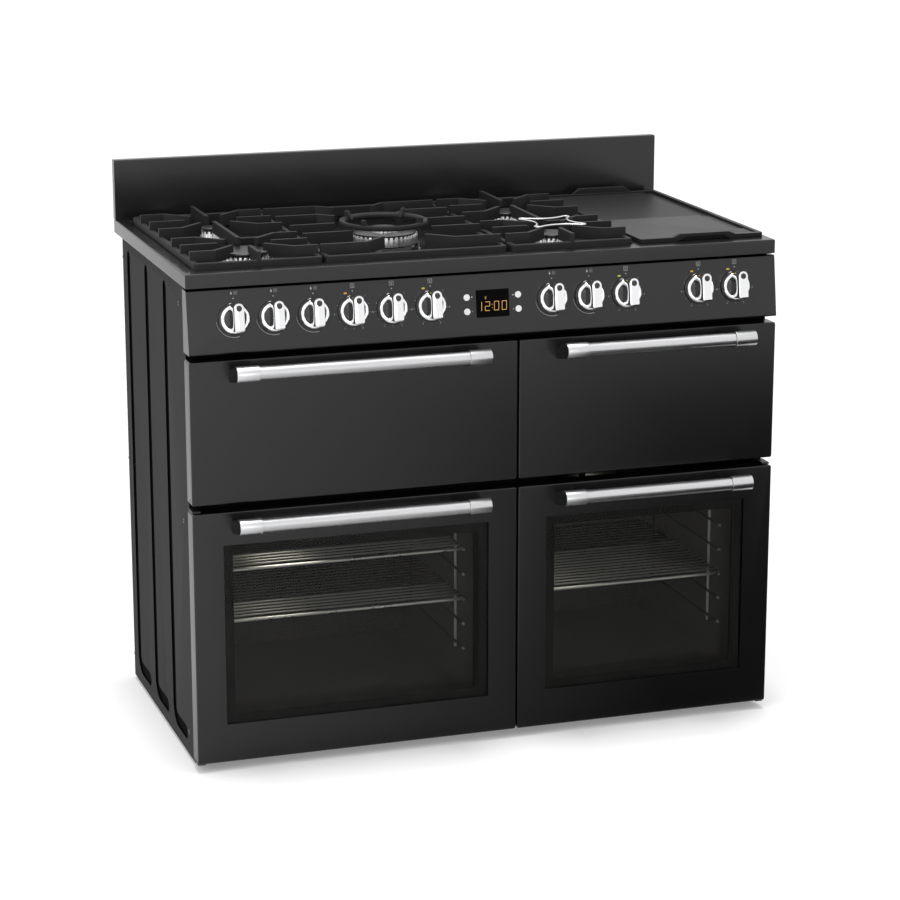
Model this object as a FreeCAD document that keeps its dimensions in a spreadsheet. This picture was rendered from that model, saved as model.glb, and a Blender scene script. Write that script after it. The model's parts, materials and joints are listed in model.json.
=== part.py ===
import FreeCAD, Part
import math
import os
import re

import Sketcher

# A free-standing range cooker, 1100 mm wide: gas hob with griddle, two upper drop-down doors,
# two lower side-hinged oven doors.  Millimetres.  X runs along the front, Y to the rear, Z up.
# The origin is on the floor under the middle of the whole cooker.

V = FreeCAD.Vector

DIMENSIONS = {
    # whole cooker
    "cooker_width": 1100,
    "hob_height": 900,
    "hob_front": -265,
    "hob_rear": 335,
    "sheet": 1.5,
    # hob
    "hob_lip": 25,
    "hob_sheet": 2,
    "tray_depth": 16,
    "tray_front": -229,
    "tray_rear": 300,
    "tray_left": -529,
    "tray_right": 289,
    "tray_corner": 14,
    "edge_round": 4,
    "griddle_rest": 4,
    # splashback
    "splash_height": 114,
    "splash_depth": 18,
    # cabinet
    "side_inset": 4,
    "cabinet_front": -235,
    "cabinet_rear": 277,
    "side_bottom": 7,
    "side_flange": 13,
    "groove_width": 26,
    "groove_depth": 3,
    "groove_top": 857,
    "groove_foot": 42,
    "groove_run": 62,
    "groove_bend": 26,
    "groove_rear": 226,
    "groove_pitch": 152,
    "base_height": 8,
    "base_wall": 32,
    "base_gap": 0.5,
    "rail_top": 757,
    "screw_radius": 2.2,
    "screw_front": 40,
    "screw_rear": 7,
    "screw_low": 52,
    "screw_middle": 447,
    "screw_high": 838,
    # cooling slots in the back panel and between the right-hand doors
    "back_lift": 5,
    "vent_low": 110,
    "vent_high": 700,
    "vent_pitch": 96,
    "vent_width": 68,
    "vent_height": 7,
    "door_vent_from": 120,
    "door_vent_foot": 477,
    "door_vent_pitch": 75,
    "door_vent_width": 62,
    "door_vent_height": 6,
    # feet
    "foot_radius": 19,
    "foot_chamfer": 2,
    "foot_stud": 5,
    "stud_length": 16,
    "foot_x": 480,
    "foot_front": -190,
    "foot_rear": 230,
    # control panel
    "panel_width": 1099,
    "panel_foot_y": -277.4,
    "panel_foot_z": 760,
    "panel_face": 112,
    "panel_tilt": 8.2,
    "knob_rise": 60,
    "knob_pitch": 71,
    "left_knobs_x": -467,
    "middle_knobs_x": 115,
    "right_knobs_x": 398,
    "spindle_radius": 3,
    "spindle_hole": 5,
    "spindle_length": 14,
    "running_gap": 0.1,
    # knobs, measured up from the face of the panel
    "knob_lift": 0.4,
    "knob_skirt": 28,
    "knob_skirt_top": 3,
    "knob_ring": 26,
    "knob_ring_top": 11,
    "knob_disc": 18,
    "knob_disc_top": 5,
    "knob_top": 40,
    "grip_half": 9,
    "grip_foot": -21,
    "grip_head": 19.5,
    "flare_half": 14,
    "flare_from": 11,
    "flare_to": 21,
    "flare_height": 6,
    "bore_depth": 14,
    # behind the panel: switches, gas taps and the gas rail
    "switch_half": 19,
    "switch_depth": 31.5,
    "behind_panel": 1.5,
    "tap_radius": 11,
    "tap_depth": 40,
    "rail_radius": 8,
    "rail_drop": 44,
    "rail_overrun": 20,
    # gas feed: pipe, nut and threaded inlet
    "inlet_x": 497,
    "inlet_hole": 11,
    "feed_radius": 6.5,
    "nut_radius": 16,
    "nut_length": 8,
    "inlet_radius": 10.48,
    "inlet_length": 16,
    # clock
    "clock_x": 2.5,
    "clock_rise": 58,
    "clock_width": 61.5,
    "clock_height": 48.6,
    "button_gap_x": 48,
    "button_gap_rise": 12.6,
    "button_radius": 5.8,
    "button_gap": 0.3,
    "button_foot": 8.6,
    "button_length": 10,
    "button_collar": 1.6,
    "button_collar_foot": 5,
    "button_collar_height": 3,
    "button_chamfer": 0.5,
    "clock_gap": 0.2,
    "clock_depth": 24,
    "clock_proud": 0.6,
    "board_half_width": 58,
    "board_half_height": 26,
    "board_level": 12,
    "board_thickness": 2,
    "lip_half_width": 34,
    "lip_half_height": 27,
    "lip_level": 3.5,
    # doors
    "door_front": -275,
    "door_rear": -240,
    "door_left": -549.7,
    "door_right": 549.7,
    "door_split": 50,
    "door_gap": 3,
    "lower_foot": 17,
    "lower_head": 477.6,
    "upper_foot": 493,
    "upper_head": 748.3,
    "window_edge_side": 54,
    "window_foot": 87.2,
    "window_head": 418,
    "glass_lap": 8,
    "glass_thickness": 4,
    "pivot_setback": 14,
    "pivot_edge": 8.7,
    "pivot_rise": 7,
    "pivot_radius": 3,
    "dish_inset": 4,
    "dish_depth": 8,
    "arm_height": 10,
    "arm_thickness": 3,
    "arm_left": 11,
    "arm_right": 14,
    "pin_length": 13.7,
    "plate_half": 7,
    "plate_thickness": 3,
    "upright_pin_length": 15,
    # handles
    "handle_standoff": 46,
    "handle_drop": 15.5,
    "handle_margin": 69,
    "bar_radius": 12,
    "ferrule_radius": 14,
    "ferrule_length": 41,
    "ferrule_chamfer": 1.5,
    "leg_high": 1,
    "leg_low": 23,
    # ovens
    "left_mouth_from": -478,
    "left_mouth_to": -22,
    "right_mouth_from": 112,
    "right_mouth_to": 488,
    "lower_mouth_foot": 72,
    "lower_mouth_head": 433,
    "upper_mouth_foot": 512,
    "upper_mouth_head": 728,
    "lower_back": 200,
    "upper_back": 150,
    "oven_corner": 18,
    "mouth_flange": 12,
    "seal_width": 5,
    "seal_height": 3.2,
    "seal_gap": 1,
    # oven furniture
    "runner_radius": 2.5,
    "runner_inset": 2.8,
    "runner_lowest": 157.5,
    "runner_pitch": 47.5,
    "runner_end": 10,
    "post_front": 70,
    "post_rear": 50,
    "post_below": 14,
    "post_above": 20,
    "shelf_seat": 4.6,
    "shelf_front": -212,
    "shelf_rear": 180,
    "shelf_wire": 3,
    "shelf_rod": 1.8,
    "element_radius": 3.5,
    "element_gap": 0.3,
    "element_drop": 24,
    "element_inset": 60,
    "element_fold": 90,
    "element_setback": 70,
    "element_rear_gap": 40,
    "element_bend": 14,
    # burners, by their crown radius
    "crown_height": 20,
    "crown_draw": 3,
    "crown_wall": 6,
    "crown_floor": 4,
    "crown_flange": 3,
    "cup_depth": 10,
    "cup_step": 6,
    "cup_taper": 2,
    "cup_gap": 0.2,
    "port_width": 2,
    "port_depth": 5,
    "cap_height": 7,
    "cap_inset": 4,
    "cap_chamfer": 2.5,
    # the wok burner has a second, smaller crown that stands in the middle of the first
    "wok_crown_height": 27,
    "wok_base_height": 8,
    "wok_waist": 4,
    "wok_wall": 7,
    "wok_inner_radius": 26,
    "wok_inner_height": 34,
    "wok_inner_wall": 6,
    "wok_cap_gap": 1.5,
    "wok_ring_cap_height": 3,
    "wok_small_cap_height": 4,
    "wok_cap_chamfer": 1.5,
    "left_burners_x": -410,
    "wok_burner_x": -125,
    "right_burners_x": 169,
    "front_burners_y": -120,
    "wok_burner_y": -29,
    "rear_burners_y": 131,
    "rapid_radius": 48,
    "simmer_radius": 22,
    "wok_radius": 63,
    "medium_radius": 36,
    # pan supports
    "support_front": -227,
    "support_rear": 281,
    "rib_between_burners": 5,
    "left_support_from": -525,
    "left_support_to": -295,
    "middle_support_from": -290,
    "middle_support_to": 45,
    "right_support_from": 54,
    "right_support_to": 284,
    "frame_bar": 9,
    "frame_foot": 893,
    "frame_top": 911,
    "blade": 7,
    "blade_foot": 904,
    "blade_top": 926,
    "cast_chamfer": 1.2,
    "support_corner": 8,
    "support_foot_inset": 8,
    "support_foot_half": 6,
    "support_foot_lap": 4,
    "burner_room": 3,
    "burner_headroom": 2,
    "finger_run": 44,
    "finger_slant": 42,
    "finger_reach": 66,
    "front_finger_spread": 69.5,
    "rear_finger_spread": 78,
    "front_finger_gap": 40,
    "rear_finger_gap": 28,
    # wok ring and wire trivet
    "ring_outer": 85,
    "ring_inner": 68,
    "ring_height": 10,
    "ring_rim": 4,
    "ring_slope": 5,
    "lug_reach": 7,
    "lug_height": 9,
    "trivet_wire": 1.8,
    "trivet_tip": 6,
    "trivet_side": 60,
    "trivet_reach": 60,
    "trivet_right": 4,
    "trivet_back": 12,
    # griddle
    "griddle_from": 299,
    "griddle_to": 541,
    "griddle_front": -229,
    "griddle_rear": 292,
    "griddle_foot": 900,
    "griddle_top": 908,
    "griddle_front_grip": 913.5,
    "griddle_rear_grip": 919,
    "griddle_corner": 6,
    "griddle_edge": 9,
    "griddle_end": 11,
    "plate_sink": 3.5,
    "channel_from": 70,
    "channel_width": 19,
    "channel_sink": 2.5,
    "hand_from": 62,
    "hand_to": 52,
    "hand_slope": 16,
    "hand_inset": 12,
    "hand_thickness": 9,
    "hold_depth": 7,
    "hold_roof": 6,
}

KNOBS = [
    # name, row of knobs, place in the row, kind of control behind it
    ("left_front_burner_knob", "left_knobs_x", 0, "tap"),
    ("left_rear_burner_knob", "left_knobs_x", 1, "tap"),
    ("wok_burner_knob", "left_knobs_x", 2, "tap"),
    ("grill_knob", "left_knobs_x", 3, "switch"),
    ("main_oven_function_knob", "left_knobs_x", 4, "switch"),
    ("main_oven_heat_knob", "left_knobs_x", 5, "switch"),
    ("right_front_burner_knob", "middle_knobs_x", 0, "tap"),
    ("right_rear_burner_knob", "middle_knobs_x", 1, "tap"),
    ("top_oven_knob", "middle_knobs_x", 2, "switch"),
    ("fan_oven_function_knob", "right_knobs_x", 0, "switch"),
    ("fan_oven_heat_knob", "right_knobs_x", 1, "switch"),
]

BURNERS = [
    # name, place, crown radius, number of flame ports
    ("rapid", "left_burners_x", "front_burners_y", "rapid_radius", 26),
    ("simmer", "left_burners_x", "rear_burners_y", "simmer_radius", 14),
    ("wok", "wok_burner_x", "wok_burner_y", "wok_radius", 34),
    ("front_medium", "right_burners_x", "front_burners_y", "medium_radius", 22),
    ("rear_medium", "right_burners_x", "rear_burners_y", "medium_radius", 22),
]

WOK_FINGERS = [
    # place behind the burner's middle, straight run, slanting reach, and which way the slant turns
    (-160, 86, 42, 1),
    (-45, 93, 0, 0),
    (43, 84, 0, 0),
    (146, 80, 26, -1),
    (236, 102, 28, -1),
]

SHELF_RODS = 14

doc = FreeCAD.newDocument("range_cooker")
sheet = doc.addObject("Spreadsheet::Sheet", "Sizes")
for row, (alias, number) in enumerate(DIMENSIONS.items(), start=1):
    sheet.set(f"A{row}", alias)
    sheet.set(f"B{row}", str(number))
    sheet.setAlias(f"B{row}", alias)
doc.recompute()

sub_parts = []


# ---------------------------------------------------------------- working with the sheet
def formula(text):
    """Writes a formula of plain size names as one that reads the sheet."""
    return re.sub(r"[a-z_]{3,}", lambda m: f"Sizes.{m[0]}" if m[0] in DIMENSIONS else m[0], str(text))


def number(text):
    """The value of a formula now, in millimetres."""
    return float(sheet.evalExpression(formula(text)))


def bind(feature, **sizes):
    """Binds properties of a feature to formulas."""
    for prop, text in sizes.items():
        feature.setExpression(prop, formula(text))


# ---------------------------------------------------------------- sketches
def new_body(name, many=False):
    """A body; one with many solids holds like pieces that share a node."""
    body = doc.addObject("PartDesign::Body", name)
    body.AllowCompound = many
    return body


def sketch_on(body, role, height="0", tilt=None):
    """A sketch on one of the body's own origin planes, raised along that plane's normal."""
    sketch = body.newObject("Sketcher::SketchObject", f"{body.Name}_outline")
    plane = [f for f in body.Origin.OriginFeatures if f.Role == role][0]
    sketch.AttachmentSupport = (plane, "")
    sketch.MapMode = "FlatFace"
    sketch.setExpression("AttachmentOffset.Base.z", formula(height))
    if tilt is not None:
        sketch.AttachmentOffset = FreeCAD.Placement(V(), FreeCAD.Rotation(V(-1, 0, 0), number(tilt)))
        sketch.setExpression("AttachmentOffset.Rotation.Angle", formula(tilt))
    return sketch


def pin_point(sketch, geometry, end, x, y):
    """Ties one point of a sketch to two formulas."""
    for kind, text in (("DistanceX", x), ("DistanceY", y)):
        place = sketch.addConstraint(Sketcher.Constraint(kind, -1, 1, geometry, end, number(text)))
        sketch.setExpression(f"Constraints[{place}]", formula(text))


def polygon(sketch, *corners):
    """A closed outline of straight lines."""
    points = [V(number(x), number(y), 0) for x, y in corners]
    first = sketch.GeometryCount
    for i, point in enumerate(points):
        sketch.addGeometry(Part.LineSegment(point, points[(i + 1) % len(points)]), False)
    for i, (x, y) in enumerate(corners):
        after = first + (i + 1) % len(corners)
        sketch.addConstraint(Sketcher.Constraint("Coincident", first + i, 2, after, 1))
        pin_point(sketch, first + i, 1, x, y)


def rectangle(sketch, left, low, right, high):
    """A closed rectangle between two corners."""
    polygon(sketch, (left, low), (right, low), (right, high), (left, high))


def circle(sketch, x, y, radius):
    """A circle tied to its centre and radius."""
    middle = V(number(x), number(y), 0)
    place = sketch.addGeometry(Part.Circle(middle, V(0, 0, 1), number(radius)), False)
    pin_point(sketch, place, 3, x, y)
    size = sketch.addConstraint(Sketcher.Constraint("Radius", place, number(radius)))
    sketch.setExpression(f"Constraints[{size}]", formula(radius))


# ---------------------------------------------------------------- features
def grow(body, kind, sketch, **sizes):
    """Adds a feature made from a sketch, and checks that it changed the solid as it should."""
    before = body.Shape.Volume if body.Tip else 0
    feature = body.newObject(f"PartDesign::{kind}", f"{body.Name}_{kind}")
    feature.Profile = sketch
    feature.Reversed = sizes.pop("flip", False)
    feature.Midplane = sizes.pop("both_ways", False)
    bind(feature, **sizes)
    doc.recompute()
    after = body.Shape.Volume
    cuts = kind in ("Pocket", "Groove")
    if cuts and not after < before or not cuts and not after > before:
        raise ValueError(f"{feature.Name} {feature.getStatusString()}: {before:.0f} to {after:.0f} mm3")
    return feature


def revolve(body, sketch):
    """Turns a half section round the sketch's upright axis."""
    feature = body.newObject("PartDesign::Revolution", f"{body.Name}_Revolution")
    feature.Profile = sketch
    feature.ReferenceAxis = (sketch, ["V_Axis"])
    feature.Angle = 360
    doc.recompute()
    return feature


def edges_where(feature, test):
    """Names of the edges of a feature that pass a test."""
    edges = feature.Shape.Edges
    return [f"Edge{i}" for i, edge in enumerate(edges, start=1) if test(edge)]


def runs_along(edge, axis):
    """True for a straight edge along an axis."""
    if edge.Curve.TypeId != "Part::GeomLine":
        return False
    return abs(edge.tangentAt(edge.FirstParameter).dot(axis)) > 0.999


def round_edges(body, test, radius, kind="Fillet"):
    """Rounds the edges that pass a test."""
    base = body.Tip
    names = edges_where(base, test)
    if not names:
        raise ValueError(f"{body.Name} has no such edge to round")
    feature = body.newObject(f"PartDesign::{kind}", f"{body.Name}_{kind}")
    feature.Base = (base, names)
    bind(feature, **{"Radius" if kind == "Fillet" else "Size": radius})
    doc.recompute()
    if not feature.isValid() or feature.Shape.isNull():
        raise ValueError(f"{feature.Name} {feature.getStatusString()} {names}")
    return feature


def near(value, text, slack=0.05):
    """True where a coordinate is that of a formula."""
    return abs(value - number(text)) < slack


def finish(feature, label):
    """Names a sub-part by its node."""
    feature.Label = label
    sub_parts.append(feature)
    return feature


def on_panel(feature, x, rise, lift="0"):
    """Places a feature built about its own Z on the sloping face of the control panel."""
    feature.Placement = FreeCAD.Placement(V(), FreeCAD.Rotation(V(1, 0, 0), 90 - number("panel_tilt")))
    bind(
        feature,
        **{
            "Placement.Base.x": x,
            "Placement.Base.y": f"panel_foot_y + ({rise}) * sin(panel_tilt) - ({lift}) * cos(panel_tilt)",
            "Placement.Base.z": f"panel_foot_z + ({rise}) * cos(panel_tilt) + ({lift}) * sin(panel_tilt)",
            "Placement.Rotation.Angle": "90 - panel_tilt",
        },
    )


# ---------------------------------------------------------------- cabinet
SIDE_OUT = "cooker_width / 2 - side_inset"
RAIL_Y = "(panel_foot_y + knob_rise * sin(panel_tilt) + rail_drop * cos(panel_tilt))"
RAIL_Z = "(panel_foot_z + knob_rise * cos(panel_tilt) - rail_drop * sin(panel_tilt))"
SIDE_IN = "cooker_width / 2 - side_inset - sheet"
RIM_UNDER = "hob_height - hob_sheet"


def make_feet():
    """Four levelling feet: a round pad and a threaded stud that passes through the base."""
    feet = new_body("levelling_feet", many=True)
    pads = sketch_on(feet, "XY_Plane")
    studs = sketch_on(feet, "XY_Plane", "base_height")
    for x in ("foot_x", "-foot_x"):
        for y in ("foot_front", "foot_rear"):
            circle(pads, x, y, "foot_radius")
            circle(studs, x, y, "foot_stud")
    grow(feet, "Pad", pads, Length="base_height")
    grow(feet, "Pad", studs, Length="stud_length")
    round_edges(feet, lambda e: near(e.BoundBox.ZMax, "0"), "foot_chamfer", "Chamfer")
    finish(feet, "levelling_feet")


def make_base():
    """The bottom tray of the cabinet, with its four upturned walls."""
    base = new_body("chassis_base")
    half = "(cooker_width / 2 - side_inset - side_flange - base_gap)"
    outer = sketch_on(base, "XY_Plane", "base_height")
    rectangle(outer, f"-{half}", "cabinet_front", half, "cabinet_rear")
    grow(base, "Pad", outer, Length="base_wall")
    inner = sketch_on(base, "XY_Plane", "base_height + sheet")
    front, rear = "cabinet_front + sheet", "cabinet_rear - sheet"
    rectangle(inner, f"-({half} - sheet)", front, f"{half} - sheet", rear)
    grow(base, "Pocket", inner, Length="base_wall", flip=True)
    holes = sketch_on(base, "XY_Plane", "base_height")
    for x in ("foot_x", "-foot_x"):
        for y in ("foot_front", "foot_rear"):
            circle(holes, x, y, "foot_stud + running_gap")
    grow(base, "Pocket", holes, Length="sheet", flip=True)
    finish(base, "chassis_base")


def groove_path(name, across):
    """The middle line of one pressed groove: down the side, round a bend and forwards."""
    y = number(across)
    top = number("groove_top - groove_width / 2")
    foot = number("groove_foot")
    bend = number("groove_bend")
    x = -number(SIDE_IN)
    middle = V(x, y - bend + bend * math.cos(math.pi / 4), foot + bend - bend * math.sin(math.pi / 4))
    down = Part.LineSegment(V(x, y, top), V(x, y, foot + bend))
    turn = Part.Arc(V(x, y, foot + bend), middle, V(x, y - bend, foot))
    ahead = Part.LineSegment(V(x, y - bend, foot), V(x, y - bend - number("groove_run"), foot))
    path = doc.addObject("Part::Feature", name)
    path.Shape = Part.Wire([down.toShape(), turn.toShape(), ahead.toShape()])
    return path


def swept_slot(path, width, outwards, name):
    """A round-ended slot that follows a path, from a little outside it to the depth of a groove."""
    outline = doc.addObject("Part::Offset2D", f"{name}_outline")
    outline.Source = path
    outline.Fill = True
    outline.Mode = "Pipe"
    outline.Join = "Arc"
    bind(outline, Value=width)
    slot = doc.addObject("Part::Extrusion", name)
    slot.Base = outline
    slot.DirMode = "Custom"
    slot.Dir = V(1, 0, 0)
    slot.Solid = True
    bind(slot, LengthFwd=f"groove_depth - {outwards}", LengthRev=outwards)
    return slot


def make_sides():
    """The left side panel, a folded sheet with three pressed grooves, and its mirror image."""
    folded = new_body("side_sheet")
    web = sketch_on(folded, "XY_Plane", "side_bottom")
    rectangle(web, f"-({SIDE_OUT})", "cabinet_front", f"-({SIDE_IN})", "cabinet_rear")
    grow(folded, "Pad", web, Length=f"{RIM_UNDER} - side_bottom")
    flanges = sketch_on(folded, "XY_Plane", "side_bottom")
    turned_in = f"-({SIDE_OUT} - side_flange)"
    rectangle(flanges, f"-({SIDE_OUT})", "cabinet_front", turned_in, "cabinet_front + sheet")
    rectangle(flanges, f"-({SIDE_OUT})", "cabinet_rear - sheet", turned_in, "cabinet_rear")
    grow(folded, "Pad", flanges, Length="hob_height - hob_lip - 1 - side_bottom")
    screw_seats = sketch_on(folded, "YZ_Plane", f"-({SIDE_OUT})")
    for y in ("cabinet_front + screw_front", "cabinet_rear - screw_rear"):
        for z in ("screw_low", "screw_middle", "screw_high"):
            circle(screw_seats, y, z, "screw_radius")
    grow(folded, "Pocket", screw_seats, Length="sheet", flip=True)
    paths = [groove_path(f"groove_line_{i}", f"groove_rear - {i} * groove_pitch") for i in range(3)]
    backs = []
    hollows = []
    for i, path in enumerate(paths):
        backs.append(swept_slot(path, "groove_width / 2 + sheet", "0", f"groove_back_{i}"))
        hollows.append(swept_slot(path, "groove_width / 2", "sheet", f"groove_hollow_{i}"))
    thick = doc.addObject("Part::MultiFuse", "side_with_backs")
    thick.Shapes = [folded] + backs
    cut_all = doc.addObject("Part::MultiFuse", "groove_hollows")
    cut_all.Shapes = hollows
    left = doc.addObject("Part::Cut", "side_left")
    left.Base = thick
    left.Tool = cut_all
    right = doc.addObject("Part::Mirroring", "side_right")
    right.Source = left
    right.Normal = V(1, 0, 0)
    finish(left, "side_panel_left")
    finish(right, "side_panel_right")


def make_back():
    """The back panel, with two rows of cooling slots and the hole for the gas inlet."""
    back = new_body("back_panel")
    face = sketch_on(back, "XZ_Plane", "-cabinet_rear")
    rectangle(face, f"-({SIDE_OUT})", "side_bottom + back_lift", SIDE_OUT, "hob_height - hob_lip")
    circle(face, "inlet_x", RAIL_Z, "inlet_hole")
    grow(back, "Pad", face, Length="sheet", flip=True)
    slots = sketch_on(back, "XZ_Plane", "-cabinet_rear")
    for row in ("vent_low", "vent_high"):
        for i in range(9):
            middle = f"{i - 4} * vent_pitch"
            left, right = f"{middle} - vent_width / 2", f"{middle} + vent_width / 2"
            rectangle(slots, left, row, right, f"{row} + vent_height")
    grow(back, "Pocket", slots, Length="sheet + 1")
    finish(back, "back_panel")


def mouths():
    """The four oven mouths, as left, foot, right, head and the depth of the cavity behind."""
    left = ("left_mouth_from", "left_mouth_to")
    right = ("right_mouth_from", "right_mouth_to")
    lower = ("lower_mouth_foot", "lower_mouth_head", "lower_back")
    upper = ("upper_mouth_foot", "upper_mouth_head", "upper_back")
    return {
        "grill": left + upper,
        "main_oven": left + lower,
        "top_oven": right + upper,
        "fan_oven": right + lower,
    }


def make_front_frame():
    """The pressed front of the cabinet, with its four mouths and cooling slots between the doors."""
    front = new_body("front_frame")
    face = sketch_on(front, "XZ_Plane", "-cabinet_front")
    rectangle(face, f"-({SIDE_OUT})", "base_height", SIDE_OUT, "rail_top")
    for left, right, foot, head, _ in mouths().values():
        rectangle(face, left, foot, right, head)
    grow(front, "Pad", face, Length="sheet")
    slots = sketch_on(front, "XZ_Plane", "-cabinet_front")
    for i in range(6):
        start = f"door_vent_from + {i} * door_vent_pitch"
        stop = f"{start} + door_vent_width"
        rectangle(slots, start, "door_vent_foot", stop, "door_vent_foot + door_vent_height")
    grow(front, "Pocket", slots, Length="sheet + 1", flip=True)
    finish(front, "front_frame")


def make_cavity(name, left, right, foot, head, back):
    """An enamelled oven box, open at the front, with a flange round its mouth."""
    box = new_body(name)
    wall, rim = "sheet", "mouth_flange"
    outer = sketch_on(box, "XZ_Plane", "-cabinet_front")
    rectangle(outer, f"{left} - {wall}", f"{foot} - {wall}", f"{right} + {wall}", f"{head} + {wall}")
    grow(box, "Pad", outer, Length=f"{back} + sheet - cabinet_front", flip=True)
    flange = sketch_on(box, "XZ_Plane", "-cabinet_front")
    rectangle(flange, f"{left} - {rim}", f"{foot} - {rim}", f"{right} + {rim}", f"{head} + {rim}")
    grow(box, "Pad", flange, Length="sheet", flip=True)
    inner = sketch_on(box, "XZ_Plane", "-cabinet_front")
    rectangle(inner, left, foot, right, head)
    grow(box, "Pocket", inner, Length=f"{back} - cabinet_front")

    def long_edge(margin):
        low_x, high_x = number(left) - margin, number(right) + margin

        def test(edge):
            x = edge.CenterOfMass.x
            at_corner = abs(x - low_x) < 0.1 or abs(x - high_x) < 0.1
            return runs_along(edge, V(0, 1, 0)) and at_corner

        return test

    round_edges(box, long_edge(0), "oven_corner")
    round_edges(box, long_edge(number(wall)), "oven_corner + sheet")
    holes = sketch_on(box, "XZ_Plane", f"-({back})")
    for tail in element_tails(left, right):
        circle(holes, tail, f"{head} - element_drop", "element_radius + element_gap")
    grow(box, "Pocket", holes, Length="sheet + 1")
    finish(box, name)


def element_tails(left, right):
    """Where the two ends of an oven's heating element pass through its back."""
    return f"{left} + element_inset + element_fold", f"{right} - element_inset - element_fold"


def make_seals():
    """The gasket round each oven mouth."""
    seals = new_body("door_seals", many=True)
    loops = sketch_on(seals, "XZ_Plane", "-(cabinet_front - sheet)")
    for left, right, foot, head, _ in mouths().values():
        for out in ("seal_gap", "(seal_gap + seal_width)"):
            rectangle(loops, f"{left} - {out}", f"{foot} - {out}", f"{right} + {out}", f"{head} + {out}")
    grow(seals, "Pad", loops, Length="seal_height")
    finish(seals, "door_seals")


# ---------------------------------------------------------------- hob
def make_hob():
    """The pressed hob: an outer lip, a raised rim, a sunken tray and a seat for the griddle."""
    hob = new_body("hob_top")
    half = "cooker_width / 2"
    outer = sketch_on(hob, "XY_Plane", "hob_height - hob_lip")
    rectangle(outer, f"-{half}", "hob_front", half, "hob_rear")
    grow(hob, "Pad", outer, Length="hob_lip")
    round_edges(hob, lambda e: runs_along(e, V(0, 0, 1)), "edge_round")
    round_edges(hob, lambda e: near(e.BoundBox.ZMin, "hob_height"), "edge_round - 1")

    wells = (
        ("tray_left", "tray_front", "tray_right", "tray_rear"),
        (
            "griddle_from + griddle_rest",
            "griddle_front + griddle_rest",
            "griddle_to - griddle_rest",
            "griddle_rear - griddle_rest",
        ),
    )
    tray = sketch_on(hob, "XY_Plane", "hob_height")
    for well in wells:
        rectangle(tray, *well)
    grow(hob, "Pocket", tray, Length="tray_depth")
    floor = "hob_height - tray_depth"
    round_edges(hob, lambda e: runs_along(e, V(0, 0, 1)) and near(e.BoundBox.ZMin, floor), "tray_corner")

    half_inside = f"({half} - hob_sheet)"
    inside = (f"-{half_inside}", "hob_front + hob_sheet", half_inside, "hob_rear - hob_sheet")
    under_floor = sketch_on(hob, "XY_Plane", "hob_height - hob_lip")
    rectangle(under_floor, *inside)
    grow(hob, "Pocket", under_floor, Length="hob_lip - tray_depth - hob_sheet", flip=True)
    under_rim = sketch_on(hob, "XY_Plane", "hob_height - tray_depth - hob_sheet")
    rectangle(under_rim, *inside)
    for left, front, right, rear in wells:
        wall = "hob_sheet"
        low = (f"{left} - {wall}", f"{front} - {wall}")
        high = (f"{right} + {wall}", f"{rear} + {wall}")
        rectangle(under_rim, *low, *high)
    grow(hob, "Pocket", under_rim, Length="tray_depth", flip=True)

    holes = sketch_on(hob, "XY_Plane", "hob_height - tray_depth")
    for _, x, y, radius, _ in BURNERS:
        circle(holes, x, y, f"{radius} - cup_step + cup_gap")
    grow(hob, "Pocket", holes, Length="hob_sheet + 1")
    finish(hob, "hob_top")


def make_splashback():
    """The splashback: a folded sheet, open behind, standing on the rear of the hob."""
    splash = new_body("splashback")
    half = "cooker_width / 2"
    block = sketch_on(splash, "XY_Plane", "hob_height")
    rectangle(block, f"-{half}", "hob_rear - splash_depth", half, "hob_rear")
    grow(splash, "Pad", block, Length="splash_height")

    def front_top(edge):
        box = edge.BoundBox
        at_top = near(box.ZMin, "hob_height + splash_height") and box.XLength > 100
        return at_top and near(box.YMax, "hob_rear - splash_depth")

    round_edges(splash, front_top, "edge_round")
    hollow = sketch_on(splash, "XZ_Plane", "-(hob_rear - splash_depth + sheet)")
    rectangle(
        hollow,
        f"-({half} - sheet)",
        "hob_height + sheet",
        f"{half} - sheet",
        "hob_height + splash_height - sheet",
    )
    grow(splash, "Pocket", hollow, Length="splash_depth")
    finish(splash, "splashback")


def cut_ports(crown, section, name, radius, top, ports):
    """Cuts a ring of flame ports down into the rim of a crown."""
    port = sketch_on(crown, "XY_Plane", top)
    inner = f"{radius} - crown_draw - crown_wall - 1"
    rectangle(port, inner, "-port_width / 2", f"{radius} + 1", "port_width / 2")
    slot = grow(crown, "Pocket", port, Length="port_depth")
    ring = crown.newObject("PartDesign::PolarPattern", f"{name}_ports")
    ring.Originals = [slot]
    ring.Axis = (section, ["V_Axis"])
    ring.Angle = 360
    ring.Occurrences = ports
    crown.Tip = ring


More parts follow.
